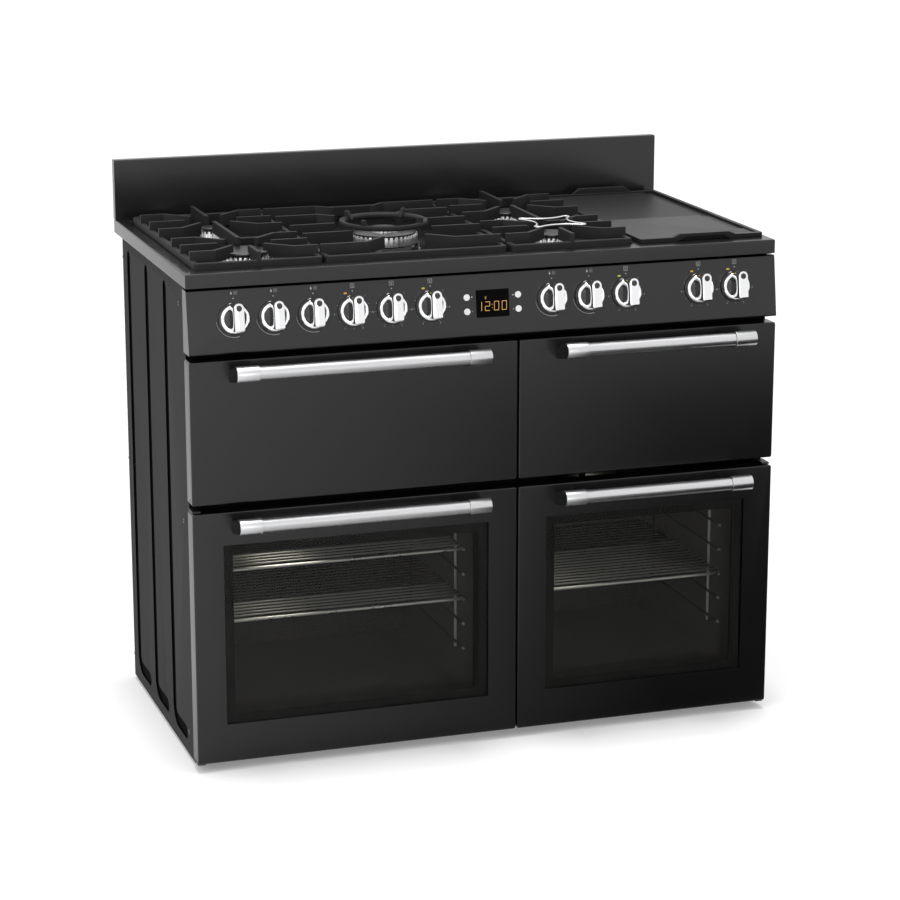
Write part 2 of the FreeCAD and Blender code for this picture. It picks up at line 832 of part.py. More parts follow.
def make_crown(name, x, y, radius, ports):
    """A cast burner crown: a cup that drops through the hob, a flared head and its flame ports."""
    crown = new_body(f"{name}_crown")
    section = sketch_on(crown, "XZ_Plane")
    foot = [
        ("0", "-cup_depth"),
        (f"{radius} - cup_step - cup_taper", "-cup_depth"),
        (f"{radius} - cup_step", "0"),
        (f"{radius}", "0"),
        (f"{radius}", "crown_flange"),
    ]
    if name == "wok":
        head = [
            (f"{radius} - wok_waist", "wok_base_height"),
            (f"{radius} - 1", "wok_base_height + 2"),
            (f"{radius} - 1", "wok_crown_height"),
            (f"{radius} - wok_wall", "wok_crown_height"),
            (f"{radius} - wok_wall", "crown_height"),
            ("wok_inner_radius", "crown_height"),
            ("wok_inner_radius", "wok_inner_height"),
            ("wok_inner_radius - wok_inner_wall", "wok_inner_height"),
            ("wok_inner_radius - wok_inner_wall", "wok_crown_height"),
            ("0", "wok_crown_height"),
        ]
    else:
        head = [
            (f"{radius} - crown_draw", "crown_height"),
            (f"{radius} - crown_draw - crown_wall", "crown_height"),
            (f"{radius} - crown_draw - crown_wall", "crown_floor"),
            ("0", "crown_floor"),
        ]
    polygon(section, *foot, *head)
    revolve(crown, section)
    if name == "wok":
        cut_ports(crown, section, "wok_outer", radius, "wok_crown_height", ports)
        cut_ports(crown, section, "wok_inner", "wok_inner_radius", "wok_inner_height", 16)
    else:
        cut_ports(crown, section, name, radius, "crown_height", ports)
    bind(
        crown,
        **{
            "Placement.Base.x": x,
            "Placement.Base.y": y,
            "Placement.Base.z": "hob_height - tray_depth",
        },
    )
    return crown


def make_burners():
    """The five burner crowns and their enamelled caps."""
    crowns = doc.addObject("Part::Compound", "crowns")
    crowns.Links = [make_crown(*burner) for burner in BURNERS]
    finish(crowns, "burner_crowns")
    caps = new_body("burner_caps", many=True)
    floor = "hob_height - tray_depth"
    discs = sketch_on(caps, "XY_Plane", f"{floor} + crown_height")
    for name, x, y, radius, _ in BURNERS:
        if name != "wok":
            circle(discs, x, y, f"{radius} - cap_inset")
    grow(caps, "Pad", discs, Length="cap_height")
    top = f"{floor} + crown_height + cap_height"
    round_edges(caps, lambda e: near(e.BoundBox.ZMin, top), "cap_chamfer", "Chamfer")
    ring_cap = sketch_on(caps, "XY_Plane", f"{floor} + wok_crown_height")
    for radius in ("wok_radius - cap_inset", "wok_inner_radius + wok_cap_gap"):
        circle(ring_cap, "wok_burner_x", "wok_burner_y", radius)
    grow(caps, "Pad", ring_cap, Length="wok_ring_cap_height")
    small_cap = sketch_on(caps, "XY_Plane", f"{floor} + wok_inner_height")
    circle(small_cap, "wok_burner_x", "wok_burner_y", "wok_inner_radius - 2")
    grow(caps, "Pad", small_cap, Length="wok_small_cap_height")
    wok_tops = (
        f"{floor} + wok_crown_height + wok_ring_cap_height",
        f"{floor} + wok_inner_height + wok_small_cap_height",
    )

    def on_wok_top(edge):
        return any(near(edge.BoundBox.ZMin, level) for level in wok_tops)

    round_edges(caps, on_wok_top, "wok_cap_chamfer", "Chamfer")
    finish(caps, "burner_caps")


# ---------------------------------------------------------------- pan supports
def straight_finger(sketch, root_x, root_y, reach, side):
    """A finger that runs straight in from the frame; side is 1 from the left and -1 from the right."""
    tip_x = f"{root_x} + {side} * {reach}"
    low, high = (root_x, tip_x) if side > 0 else (tip_x, root_x)
    rectangle(sketch, low, f"{root_y} - blade / 2", high, f"{root_y} + blade / 2")


def bent_finger(sketch, root_x, root_y, run, reach, side, turn):
    """A finger that runs in from the frame and then bends 45 degrees towards the burner."""
    mitre = "0.4142 * blade / 2"
    slant = "0.7071 * blade / 2"

    def corner(x, y):
        return (f"{root_x} + {side} * ({x})", f"{root_y} + {turn} * ({y})")

    polygon(
        sketch,
        corner("0", "blade / 2"),
        corner(f"{run} - {mitre}", "blade / 2"),
        corner(f"{run} + {reach} - {slant}", f"{reach} + {slant}"),
        corner(f"{run} + {reach} + {slant}", f"{reach} - {slant}"),
        corner(f"{run} + {mitre}", "-blade / 2"),
        corner("0", "-blade / 2"),
    )


def make_support(name, left, right, rows, draw_fingers, burners):
    """A cast pan support: a low frame on four feet, and upright fingers that carry the pans."""
    support = new_body(name)
    frame = sketch_on(support, "XY_Plane", "frame_foot")
    rectangle(frame, left, "support_front", right, "support_rear")
    inner_left, inner_right = f"{left} + frame_bar", f"{right} - frame_bar"
    for front, rear in rows:
        rectangle(frame, inner_left, f"{front} + frame_bar", inner_right, f"{rear} - frame_bar")
    grow(support, "Pad", frame, Length="frame_top - frame_foot")

    def outer_corner(edge):
        middle = edge.CenterOfMass
        at_side = near(middle.x, left) or near(middle.x, right)
        at_end = near(middle.y, "support_front") or near(middle.y, "support_rear")
        return at_side and at_end

    round_edges(support, outer_corner, "support_corner")
    round_edges(support, lambda e: near(e.BoundBox.ZMin, "frame_top"), "cast_chamfer", "Chamfer")
    fingers = sketch_on(support, "XY_Plane", "blade_foot")
    draw_fingers(fingers, left, right)
    grow(support, "Pad", fingers, Length="blade_top - blade_foot")
    feet = sketch_on(support, "XY_Plane", "hob_height - tray_depth")
    size = "support_foot_half"
    for x in (f"{left} + support_foot_inset", f"{right} - support_foot_inset"):
        for y in ("support_front + support_foot_inset", "support_rear - support_foot_inset"):
            rectangle(feet, f"{x} - {size}", f"{y} - {size}", f"{x} + {size}", f"{y} + {size}")
    grow(support, "Pad", feet, Length="frame_foot + support_foot_lap - (hob_height - tray_depth)")
    if burners:
        cap_top = "hob_height - tray_depth + crown_height + cap_height"
        room = sketch_on(support, "XY_Plane", f"{cap_top} + burner_headroom")
        for _, x, y, radius, _ in burners:
            circle(room, x, y, f"{radius} + burner_room")
        grow(support, "Pocket", room, Length="frame_top - frame_foot")
    finish(support, name)


def side_fingers(sketch, left, right):
    """Fingers for two burners, one behind the other."""
    for root, side in ((left, 1), (right, -1)):
        for row in ("front", "rear"):
            burner, spread = f"{row}_burners_y", f"{row}_finger_spread"
            bent_finger(sketch, root, f"{burner} - {spread}", "finger_run", "finger_slant", side, 1)
            bent_finger(sketch, root, f"{burner} + {spread}", "finger_run", "finger_slant", side, -1)
            straight_finger(sketch, root, burner, "finger_reach", side)
    middle = f"({left} + {right}) / 2"
    lengths = (
        ("support_front", "front_burners_y - front_finger_gap"),
        ("front_burners_y + front_finger_gap", "rear_burners_y - rear_finger_gap"),
        ("rear_burners_y + rear_finger_gap", "support_rear"),
    )
    for low, high in lengths:
        rectangle(sketch, f"{middle} - blade / 2", low, f"{middle} + blade / 2", high)


def wok_fingers(sketch, left, right):
    """Fingers for the wok burner: straight ones beside it, bent ones before and behind it."""
    for root, side in ((left, 1), (right, -1)):
        for back, run, slant, turn in WOK_FINGERS:
            root_y = f"wok_burner_y + ({back})"
            if turn:
                bent_finger(sketch, root, root_y, f"{run}", f"{slant}", side, turn)
            else:
                straight_finger(sketch, root, root_y, f"{run}", side)


# ---------------------------------------------------------------- loose hob furniture
def make_wok_ring():
    """The cast ring that holds a round-bottomed pan, with four lugs."""
    ring = new_body("wok_ring")
    section = sketch_on(ring, "XZ_Plane")
    polygon(
        section,
        ("ring_inner", "0"),
        ("ring_outer - ring_slope", "0"),
        ("ring_outer", "ring_height - ring_rim"),
        ("ring_outer", "ring_height"),
        ("ring_outer - ring_rim", "ring_height"),
        ("ring_inner", "ring_rim"),
    )
    revolve(ring, section)
    lug = sketch_on(ring, "XZ_Plane", "-blade / 2")
    polygon(
        lug,
        ("ring_inner - lug_reach", "ring_rim / 2"),
        ("ring_inner + 3", "ring_rim / 2"),
        ("ring_outer - 1", "ring_height - 1"),
        ("ring_outer - 1", "ring_height + lug_height"),
        ("ring_outer - 8", "ring_height + lug_height"),
    )
    blade = grow(ring, "Pad", lug, Length="blade")
    around = ring.newObject("PartDesign::PolarPattern", "ring_lugs")
    around.Originals = [blade]
    around.Axis = (section, ["V_Axis"])
    around.Angle = 360
    around.Occurrences = 4
    ring.Tip = around
    ring.Placement.Rotation = FreeCAD.Rotation(V(0, 0, 1), 45)
    bind(
        ring,
        **{
            "Placement.Base.x": "wok_burner_x",
            "Placement.Base.y": "wok_burner_y",
            "Placement.Base.z": "blade_top",
        },
    )
    finish(ring, "wok_ring")


def make_trivet():
    """The bent-wire trivet for small pans: four drawn-in sides and four rounded tips."""
    tip, side, reach = (number(t) for t in ("trivet_tip", "trivet_side", "trivet_reach"))
    corner = reach * math.sqrt(0.5)
    side_centre = corner + math.sqrt((side + tip) ** 2 - corner ** 2)
    to_tip = math.atan2(corner, corner - side_centre)

    def around(centre, radius, start, stop):
        middle = (start + stop) / 2
        points = [centre + V(radius * math.cos(a), radius * math.sin(a), 0) for a in (start, middle, stop)]
        return Part.Arc(*points).toShape()

    one_side = around(V(side_centre, 0, 0), side, 2 * math.pi - to_tip, to_tip)
    one_tip = around(V(corner, corner, 0), tip, to_tip - math.pi, math.pi / 2 - to_tip + math.pi)
    edges = []
    for quarter in range(4):
        for edge in (one_side, one_tip):
            turned = edge.copy()
            turned.rotate(V(), V(0, 0, 1), 90 * quarter)
            edges.append(turned)
    path = doc.addObject("Part::Feature", "trivet_line")
    path.Shape = Part.Wire(Part.__sortEdges__(edges))
    round_wire = doc.addObject("Part::Circle", "trivet_section")
    bind(round_wire, Radius="trivet_wire")
    wire = path.Shape
    start = wire.OrderedVertexes[0].Point
    first = wire.OrderedEdges[0]
    heading = first.tangentAt(first.FirstParameter)
    round_wire.Placement = FreeCAD.Placement(start, FreeCAD.Rotation(V(0, 0, 1), heading))
    trivet = doc.addObject("Part::Sweep", "trivet")
    trivet.Sections = [round_wire]
    trivet.Spine = (path, [])
    trivet.Solid = True
    bind(
        trivet,
        **{
            "Placement.Base.x": "right_burners_x + trivet_right",
            "Placement.Base.y": "front_burners_y + trivet_back",
            "Placement.Base.z": "blade_top + trivet_wire",
        },
    )
    finish(trivet, "pot_trivet")


def hand_outline(sketch, low, high, margin):
    """The outline of a raised hand grip at one end of the griddle."""
    left, right = f"griddle_from + hand_from + {margin}", f"griddle_to - hand_to - {margin}"
    top_left, top_right = (f"{left} + hand_slope", high), (f"{right} - hand_slope", high)
    polygon(sketch, (left, low), (right, low), top_right, top_left)


def make_griddle():
    """The cast griddle: a smooth sunken plate, a drip channel on the right and a grip at each end."""
    griddle = new_body("griddle_plate")
    plate = sketch_on(griddle, "XY_Plane", "griddle_foot")
    rectangle(plate, "griddle_from", "griddle_front", "griddle_to", "griddle_rear")
    grow(griddle, "Pad", plate, Length="griddle_top - griddle_foot")
    round_edges(griddle, lambda e: runs_along(e, V(0, 0, 1)), "griddle_corner")
    for end, inwards in (("griddle_front", True), ("griddle_rear", False)):
        grip = sketch_on(griddle, "XZ_Plane", f"-{end}")
        hand_outline(grip, "griddle_top - 1", f"{end}_grip", "0")
        grow(griddle, "Pad", grip, Length="hand_thickness", flip=inwards)
        hold = sketch_on(griddle, "XZ_Plane", f"-{end}")
        hand_outline(hold, "griddle_foot", f"{end}_grip - hold_roof", "hand_inset")
        grow(griddle, "Pocket", hold, Length="hold_depth", flip=not inwards)
    right = "griddle_to - griddle_edge"
    rear = "griddle_rear - griddle_end"
    surface = sketch_on(griddle, "XY_Plane", "griddle_top")
    rectangle(surface, "griddle_from + griddle_edge", "griddle_front + griddle_end", right, rear)
    grow(griddle, "Pocket", surface, Length="plate_sink")
    channel = sketch_on(griddle, "XY_Plane", "griddle_top - plate_sink")
    rectangle(channel, f"{right} - channel_width", "griddle_front + channel_from", right, rear)
    grow(griddle, "Pocket", channel, Length="channel_sink")
    finish(griddle, "griddle_plate")


# ---------------------------------------------------------------- control panel
def knob_place(row, place):
    """How far along the panel a knob stands."""
    return f"{row} + {place} * knob_pitch"


def make_control_panel():
    """The sloping control panel: a folded sheet, closed at its ends, open behind."""
    panel = new_body("control_panel")
    half = "panel_width / 2"
    head_y = "panel_foot_y + panel_face * sin(panel_tilt)"
    head_z = "panel_foot_z + panel_face * cos(panel_tilt)"
    outer = sketch_on(panel, "YZ_Plane")
    polygon(
        outer,
        ("panel_foot_y", "panel_foot_z"),
        ("cabinet_front", "panel_foot_z"),
        ("cabinet_front", head_z),
        (head_y, head_z),
    )
    grow(panel, "Pad", outer, Length="panel_width", both_ways=True)

    def on_face(edge):
        box = edge.BoundBox
        return box.XLength > 100 and box.YMax < number("cabinet_front") - 5

    round_edges(panel, on_face, "2 * sheet")
    inner = sketch_on(panel, "YZ_Plane")
    skin = "sheet / cos(panel_tilt)"
    polygon(
        inner,
        (f"panel_foot_y + {skin} + sheet * tan(panel_tilt)", "panel_foot_z + sheet"),
        ("cabinet_front + 1", "panel_foot_z + sheet"),
        ("cabinet_front + 1", f"{head_z} - sheet"),
        (f"{head_y} + {skin} - sheet * tan(panel_tilt)", f"{head_z} - sheet"),
    )
    grow(panel, "Pocket", inner, Length="panel_width - 2 * sheet", both_ways=True)
    holes = sketch_on(panel, "XZ_Plane", "0", tilt="panel_tilt")
    sketch_base = {
        "AttachmentOffset.Base.x": "0",
        "AttachmentOffset.Base.y": "panel_foot_z",
        "AttachmentOffset.Base.z": "-panel_foot_y",
    }
    bind(holes, **sketch_base)
    for _, row, place, _ in KNOBS:
        circle(holes, knob_place(row, place), "knob_rise", "spindle_hole")
    for x in ("clock_x - button_gap_x", "clock_x + button_gap_x"):
        for rise in ("clock_rise - button_gap_rise", "clock_rise + button_gap_rise"):
            circle(holes, x, rise, "button_radius + button_gap")
    rectangle(
        holes,
        "clock_x - clock_width / 2",
        "clock_rise - clock_height / 2",
        "clock_x + clock_width / 2",
        "clock_rise + clock_height / 2",
    )
    grow(panel, "Pocket", holes, Length="3 * sheet")
    finish(panel, "control_panel")


def make_clock():
    """The clock: a display window in the panel on a module fixed behind it."""
    clock = new_body("clock_display")
    window = sketch_on(clock, "XY_Plane", "-clock_depth")
    wide, tall = "(clock_width / 2 - clock_gap)", "(clock_height / 2 - clock_gap)"
    rectangle(window, f"-{wide}", f"-{tall}", wide, tall)
    grow(clock, "Pad", window, Length="clock_depth + clock_proud")
    for part_name in ("board", "lip"):
        plate = sketch_on(clock, "XY_Plane", f"-{part_name}_level")
        wide, tall = f"{part_name}_half_width", f"{part_name}_half_height"
        rectangle(plate, f"-{wide}", f"-{tall}", wide, tall)
        grow(clock, "Pad", plate, Length="board_thickness")
    on_panel(clock, "clock_x", "clock_rise")
    finish(clock, "clock_display")


def make_button(name, x, rise):
    """A round push button with a collar behind the panel."""
    button = new_body(name)
    shank = sketch_on(button, "XY_Plane", "-button_foot")
    circle(shank, "0", "0", "button_radius")
    grow(button, "Pad", shank, Length="button_length")
    collar = sketch_on(button, "XY_Plane", "-button_collar_foot")
    circle(collar, "0", "0", "button_radius + button_collar")
    grow(button, "Pad", collar, Length="button_collar_height")
    top = "button_length - button_foot"
    round_edges(button, lambda e: near(e.BoundBox.ZMin, top), "button_chamfer", "Chamfer")
    on_panel(button, x, rise)
    finish(button, name)


def make_knob(name, x):
    """A control knob: black skirt, bright ring round a sunken disc, and a tall grip across it."""
    knob = new_body(name)
    section = sketch_on(knob, "XZ_Plane")
    polygon(
        section,
        ("0", "knob_lift"),
        ("knob_skirt", "knob_lift"),
        ("knob_skirt", "knob_skirt_top"),
        ("knob_ring", "knob_skirt_top + 1"),
        ("knob_ring", "knob_ring_top - 2"),
        ("knob_ring - 2.5", "knob_ring_top"),
        ("knob_disc + 1", "knob_ring_top - 1"),
        ("knob_disc", "knob_disc_top"),
        ("0", "knob_disc_top"),
    )
    revolve(knob, section)
    flares = sketch_on(knob, "XY_Plane", "knob_disc_top - 0.5")
    rectangle(flares, "-flare_half", "flare_from", "flare_half", "flare_to")
    rectangle(flares, "-flare_half", "-flare_to", "flare_half", "-flare_from")
    grow(knob, "Pad", flares, Length="flare_height", TaperAngle="-30")
    grip = sketch_on(knob, "XY_Plane", "knob_disc_top - 0.5")
    draw_grip(grip)
    grow(knob, "Pad", grip, Length="knob_top - knob_disc_top + 0.5")
    round_edges(knob, lambda e: near(e.BoundBox.ZMin, "knob_top"), "1", "Chamfer")
    bore = sketch_on(knob, "XY_Plane", "knob_lift")
    circle(bore, "0", "0", "spindle_radius + running_gap")
    grow(knob, "Pocket", bore, Length="bore_depth", flip=True)
    on_panel(knob, x, "knob_rise")
    finish(knob, name)


def draw_grip(sketch):
    """The outline of a knob's grip: flat at the foot and round at the head."""
    half, foot, head = (number(t) for t in ("grip_half", "grip_foot", "grip_head"))
    corners = [V(-half, head, 0), V(-half, foot, 0), V(half, foot, 0), V(half, head, 0)]
    names = [("-grip_half", "grip_head"), ("-grip_half", "grip_foot"), ("grip_half", "grip_foot")]
    for start, stop in zip(corners, corners[1:]):
        sketch.addGeometry(Part.LineSegment(start, stop), False)
    sketch.addGeometry(Part.Arc(corners[3], V(0, head + half, 0), corners[0]), False)
    for first in range(2):
        sketch.addConstraint(Sketcher.Constraint("Coincident", first, 2, first + 1, 1))
    sketch.addConstraint(Sketcher.Constraint("Coincident", 2, 2, 3, 1))
    sketch.addConstraint(Sketcher.Constraint("Tangent", 3, 2, 0, 1))
    for first, corner in enumerate(names):
        pin_point(sketch, first, 1, *corner)
    pin_point(sketch, 2, 2, "grip_half", "grip_head")


def make_controls():
    """The oven switches, and the gas rail with its taps, feed pipe and inlet."""
    switches = new_body("oven_switches", many=True)
    cases = sketch_on(switches, "XY_Plane", "-switch_depth")
    switch_spindles = sketch_on(switches, "XY_Plane", "-2")
    taps = new_body("gas_taps", many=True)
    barrels = sketch_on(taps, "XY_Plane", "-tap_depth")
    tap_spindles = sketch_on(taps, "XY_Plane", "-2")
    for _, row, place, kind in KNOBS:
        x = knob_place(row, place)
        if kind == "switch":
            rectangle(cases, f"{x} - switch_half", "-switch_half", f"{x} + switch_half", "switch_half")
            circle(switch_spindles, x, "0", "spindle_radius")
        else:
            circle(barrels, x, "0", "tap_radius")
            circle(tap_spindles, x, "0", "spindle_radius")
    grow(switches, "Pad", cases, Length="switch_depth - behind_panel")
    grow(switches, "Pad", switch_spindles, Length="spindle_length")
    on_panel(switches, "0", "knob_rise")
    finish(switches, "oven_switches")

    grow(taps, "Pad", barrels, Length="tap_depth - behind_panel")
    grow(taps, "Pad", tap_spindles, Length="spindle_length")
    rail = sketch_on(taps, "YZ_Plane", "left_knobs_x - rail_overrun")
    circle(rail, "0", "-rail_drop", "rail_radius")
    grow(taps, "Pad", rail, Length="inlet_x + rail_radius - (left_knobs_x - rail_overrun)")
    on_panel(taps, "0", "knob_rise")

    feed = new_body("gas_feed")
    for start, radius, length in (
        (RAIL_Y, "feed_radius", f"cabinet_rear + 4 - {RAIL_Y}"),
        ("(cabinet_rear + sheet)", "nut_radius", "nut_length"),
        ("(cabinet_rear + sheet + nut_length)", "inlet_radius", "inlet_length"),
    ):
        pipe = sketch_on(feed, "XZ_Plane", f"-{start}")
        circle(pipe, "inlet_x", RAIL_Z, radius)
        grow(feed, "Pad", pipe, Length=length, flip=True)
    manifold = doc.addObject("Part::Fuse", "manifold")
    manifold.Base = taps
    manifold.Tool = feed
    finish(manifold, "gas_manifold")


# ---------------------------------------------------------------- doors
def door_span(side):
    """The left and right edges of the doors in one column."""
    if side == "left":
        return "door_left", "door_split - door_gap / 2"
    return "door_split + door_gap / 2", "door_right"


def make_door(name, side, foot, head, windowed):
    """A door: folded outer skin, inner liner, two glass panes where it has a window, and its handle."""
    left, right = door_span(side)
    make_door_skin(name, side, foot, head, windowed)
    liner = new_body(f"{name}_liner")
    plate = sketch_on(liner, "XZ_Plane", "-door_rear")
    rectangle(plate, f"{left} + sheet", f"{foot} + sheet", f"{right} - sheet", f"{head} - sheet")
    mouth_left, mouth_right, mouth_foot, mouth_head, _ = mouths()[name.replace("_door", "")]
    if windowed:
        rectangle(plate, mouth_left, mouth_foot, mouth_right, mouth_head)
    grow(liner, "Pad", plate, Length="sheet")
    if windowed:
        make_panes(name, side, (mouth_left, mouth_foot, mouth_right, mouth_head))
    else:
        dish_steps = (
            ("Pad", "door_rear - sheet", "dish_inset", False),
            ("Pocket", "door_rear", "(dish_inset + sheet)", True),
        )
        for kind, plane, inset, flip in dish_steps:
            dish = sketch_on(liner, "XZ_Plane", f"-({plane})")
            low = (f"{mouth_left} + {inset}", f"{mouth_foot} + {inset}")
            high = (f"{mouth_right} - {inset}", f"{mouth_head} - {inset}")
            rectangle(dish, *low, *high)
            grow(liner, kind, dish, Length="dish_depth", flip=flip)
        cut_arm_slots(liner, side)
    finish(liner, f"{name}_liner")
    make_handle(name, side, f"{head} - handle_drop")


def make_door_skin(name, side, foot, head, windowed):
    """The folded outer skin of a door, open at the rear, with the holes that its hinges need."""
    left, right = door_span(side)
    skin = new_body(f"{name}_panel")
    outer = sketch_on(skin, "XZ_Plane", "-door_front")
    rectangle(outer, left, foot, right, head)
    grow(skin, "Pad", outer, Length="door_rear - door_front", flip=True)
    round_edges(skin, lambda e: runs_along(e, V(0, 1, 0)), "edge_round")
    round_edges(skin, lambda e: near(e.BoundBox.YMax, "door_front"), "2")
    inner = sketch_on(skin, "XZ_Plane", "-(door_front + sheet)")
    rectangle(inner, f"{left} + sheet", f"{foot} + sheet", f"{right} - sheet", f"{head} - sheet")
    grow(skin, "Pocket", inner, Length="door_rear - door_front")
    if windowed:
        opening = sketch_on(skin, "XZ_Plane", "-door_front")
        rectangle(opening, *window_of(side))
        grow(skin, "Pocket", opening, Length="sheet + 1")
        pivots = sketch_on(skin, "XY_Plane", foot)
        circle(pivots, pivot_across(side), "door_front + pivot_setback", "pivot_radius + running_gap")
        grow(skin, "Pocket", pivots, Length=f"{head} - {foot}", flip=True)
    else:
        pivots = sketch_on(skin, "YZ_Plane", left)
        pivot = ("door_front + pivot_setback", "upper_foot + pivot_rise")
        circle(pivots, *pivot, "pivot_radius + running_gap")
        grow(skin, "Pocket", pivots, Length=f"{right} - ({left})", flip=True)
        cut_arm_slots(skin, side)
    finish(skin, f"{name}_panel")


def window_of(side):
    """The window in a lower door's skin, as left, foot, right and head."""
    left, right = door_span(side)
    return f"{left} + window_edge_side", "window_foot", f"{right} - window_edge_side", "window_head"


def pivot_across(side):
    """How far along the cooker the upright hinge line of a lower door stands."""
    left, right = door_span(side)
    return f"{left} + pivot_edge" if side == "left" else f"{right} - pivot_edge"


def make_panes(name, side, mouth):
    """The outer and the inner pane of a lower door."""
    panes = new_body(f"{name}_glass", many=True)
    for (left, foot, right, head), plane in (
        (window_of(side), "door_front + sheet + glass_thickness"),
        (mouth, "door_rear - sheet"),
    ):
        pane = sketch_on(panes, "XZ_Plane", f"-({plane})")
        lap = "glass_lap"
        rectangle(pane, f"{left} - {lap}", f"{foot} - {lap}", f"{right} + {lap}", f"{head} + {lap}")
        grow(panes, "Pad", pane, Length="glass_thickness")
    finish(panes, f"{name}_glass")


def cut_arm_slots(body, side):
    """Lets the two hinge arms of a drop-down door through its lower edge."""
    left, right = door_span(side)
    for start in (f"{left} + 10", f"{right} - 15"):
        slot = sketch_on(body, "YZ_Plane", start)
        rectangle(slot, "door_front + 5", "upper_foot - 1", "door_rear + 1", "upper_foot + 18")
        grow(body, "Pocket", slot, Length="5", flip=True)


def make_handle(name, side, height):
    """A bar handle: a bar between two end castings whose legs reach back and down to the door."""
    left, right = door_span(side)
    axis_y = "door_front - handle_standoff"
    start = f"{left} + handle_margin + 2"
    stop = f"{right} - handle_margin + 2"
    if side == "right":
        stop = f"{right} - handle_margin + 7"
    handle = new_body(f"{name}_handle", many=True)
    for x in (start, f"{stop} - ferrule_length"):
        casting = sketch_on(handle, "YZ_Plane", x)
        draw_teardrop(casting, axis_y, height)
        grow(handle, "Pad", casting, Length="ferrule_length")

    def at_end(edge):
        return near(edge.BoundBox.XMax, start) or near(edge.BoundBox.XMin, stop)

    round_edges(handle, at_end, "ferrule_chamfer", "Chamfer")
    bar = sketch_on(handle, "YZ_Plane", f"{start} + ferrule_length")
    circle(bar, axis_y, height, "bar_radius")
    grow(handle, "Pad", bar, Length=f"({stop}) - ({start}) - 2 * ferrule_length")
    finish(handle, f"{name}_handle")


def draw_teardrop(sketch, axis_y, height):
    """The side outline of a handle end: round at the bar, tapering back and down to a foot."""
    radius = number("ferrule_radius")
    centre = V(number(axis_y), number(height), 0)
    foot_high = V(number("door_front"), number(f"{height} - leg_high"), 0)
    foot_low = V(number("door_front"), number(f"{height} - leg_low"), 0)

    def touch(point, side):
        """Where a line from a point touches the round."""
        across = point - centre
        angle = math.acos(radius / across.Length) * side + math.atan2(across.y, across.x)
        return centre + V(radius * math.cos(angle), radius * math.sin(angle), 0)

    high, low = touch(foot_high, 1), touch(foot_low, -1)
    front = centre + V(-radius, 0, 0)
    round_end = sketch.addGeometry(Part.Arc(high, front, low), False)
    under = sketch.addGeometry(Part.LineSegment(low, foot_low), False)
    foot = sketch.addGeometry(Part.LineSegment(foot_low, foot_high), False)
    over = sketch.addGeometry(Part.LineSegment(foot_high, high), False)
    sketch.addConstraint(Sketcher.Constraint("Tangent", round_end, 2, under, 1))
    sketch.addConstraint(Sketcher.Constraint("Coincident", under, 2, foot, 1))
    sketch.addConstraint(Sketcher.Constraint("Coincident", foot, 2, over, 1))
    sketch.addConstraint(Sketcher.Constraint("Tangent", over, 2, round_end, 1))
    pin_point(sketch, round_end, 3, axis_y, height)
    pin_point(sketch, foot, 1, "door_front", f"{height} - leg_low")
    pin_point(sketch, foot, 2, "door_front", f"{height} - leg_high")
    size = sketch.addConstraint(Sketcher.Constraint("Radius", round_end, radius))
    sketch.setExpression(f"Constraints[{size}]", formula("ferrule_radius"))


def make_hinges():
    """The door hinges: arms with cross pins for the upper doors, plates with upright pins below."""
    hinges = new_body("door_hinges", many=True)
    pivot_y = "door_front + pivot_setback"
    frame_face = "cabinet_front - sheet"
    height = "upper_foot + pivot_rise"
    for side in ("left", "right"):
        left, right = door_span(side)
        half = "arm_height / 2"
        arms = (
            (f"{left} + arm_left", f"{left} + 0.3"),
            (f"{right} - arm_right", f"{right} - arm_right"),
        )
        for arm_at, pin_at in arms:
            arm = sketch_on(hinges, "YZ_Plane", arm_at)
            arm_low = (f"{pivot_y} - {half}", f"{height} - {half}")
            rectangle(arm, *arm_low, frame_face, f"{height} + {half}")
            grow(hinges, "Pad", arm, Length="arm_thickness")
            pin = sketch_on(hinges, "YZ_Plane", pin_at)
            circle(pin, pivot_y, height, "pivot_radius")
            grow(hinges, "Pad", pin, Length="pin_length")
        across = pivot_across(side)
        levels = (
            ("lower_head + 1", "lower_head - 12"),
            ("lower_foot - 4", "lower_foot - 3"),
        )
        for level, pin_foot in levels:
            plate = sketch_on(hinges, "XY_Plane", level)
            plate_left, plate_right = f"{across} - plate_half", f"{across} + plate_half"
            rectangle(plate, plate_left, f"{pivot_y} - plate_half", plate_right, frame_face)
            grow(hinges, "Pad", plate, Length="plate_thickness")
            pin = sketch_on(hinges, "XY_Plane", pin_foot)
            circle(pin, across, pivot_y, "pivot_radius")
            grow(hinges, "Pad", pin, Length="upright_pin_length")
    finish(hinges, "door_hinges")


# ---------------------------------------------------------------- inside the ovens
def make_shelf(name, left, right, level):
    """A welded wire shelf: a wire round the edge and a row of rods from side to side."""
    shelf = new_body(name, many=True)
    height = f"(runner_lowest + {level} * runner_pitch + shelf_seat)"
    edge = "(runner_inset + 2 * runner_radius + shelf_wire - 0.3)"
    low, high = f"{left} + {edge}", f"{right} - {edge}"
    sides = sketch_on(shelf, "XZ_Plane", "-shelf_front")
    for x in (low, high):
        circle(sides, x, height, "shelf_wire")
    grow(shelf, "Pad", sides, Length="shelf_rear - shelf_front", flip=True)
    ends = sketch_on(shelf, "YZ_Plane", low)
    for y in ("shelf_front + shelf_wire", "shelf_rear - shelf_wire"):
        circle(ends, y, height, "shelf_wire")
    grow(shelf, "Pad", ends, Length=f"({high}) - ({low})")
    across = sketch_on(shelf, "YZ_Plane", low)
    for i in range(1, SHELF_RODS + 1):
        step = f"(shelf_rear - shelf_front - 2 * shelf_wire) * {i} / {SHELF_RODS + 1}"
        circle(across, f"shelf_front + shelf_wire + {step}", f"{height} + shelf_wire", "shelf_rod")
    grow(shelf, "Pad", across, Length=f"({high}) - ({low})")
    finish(shelf, name)


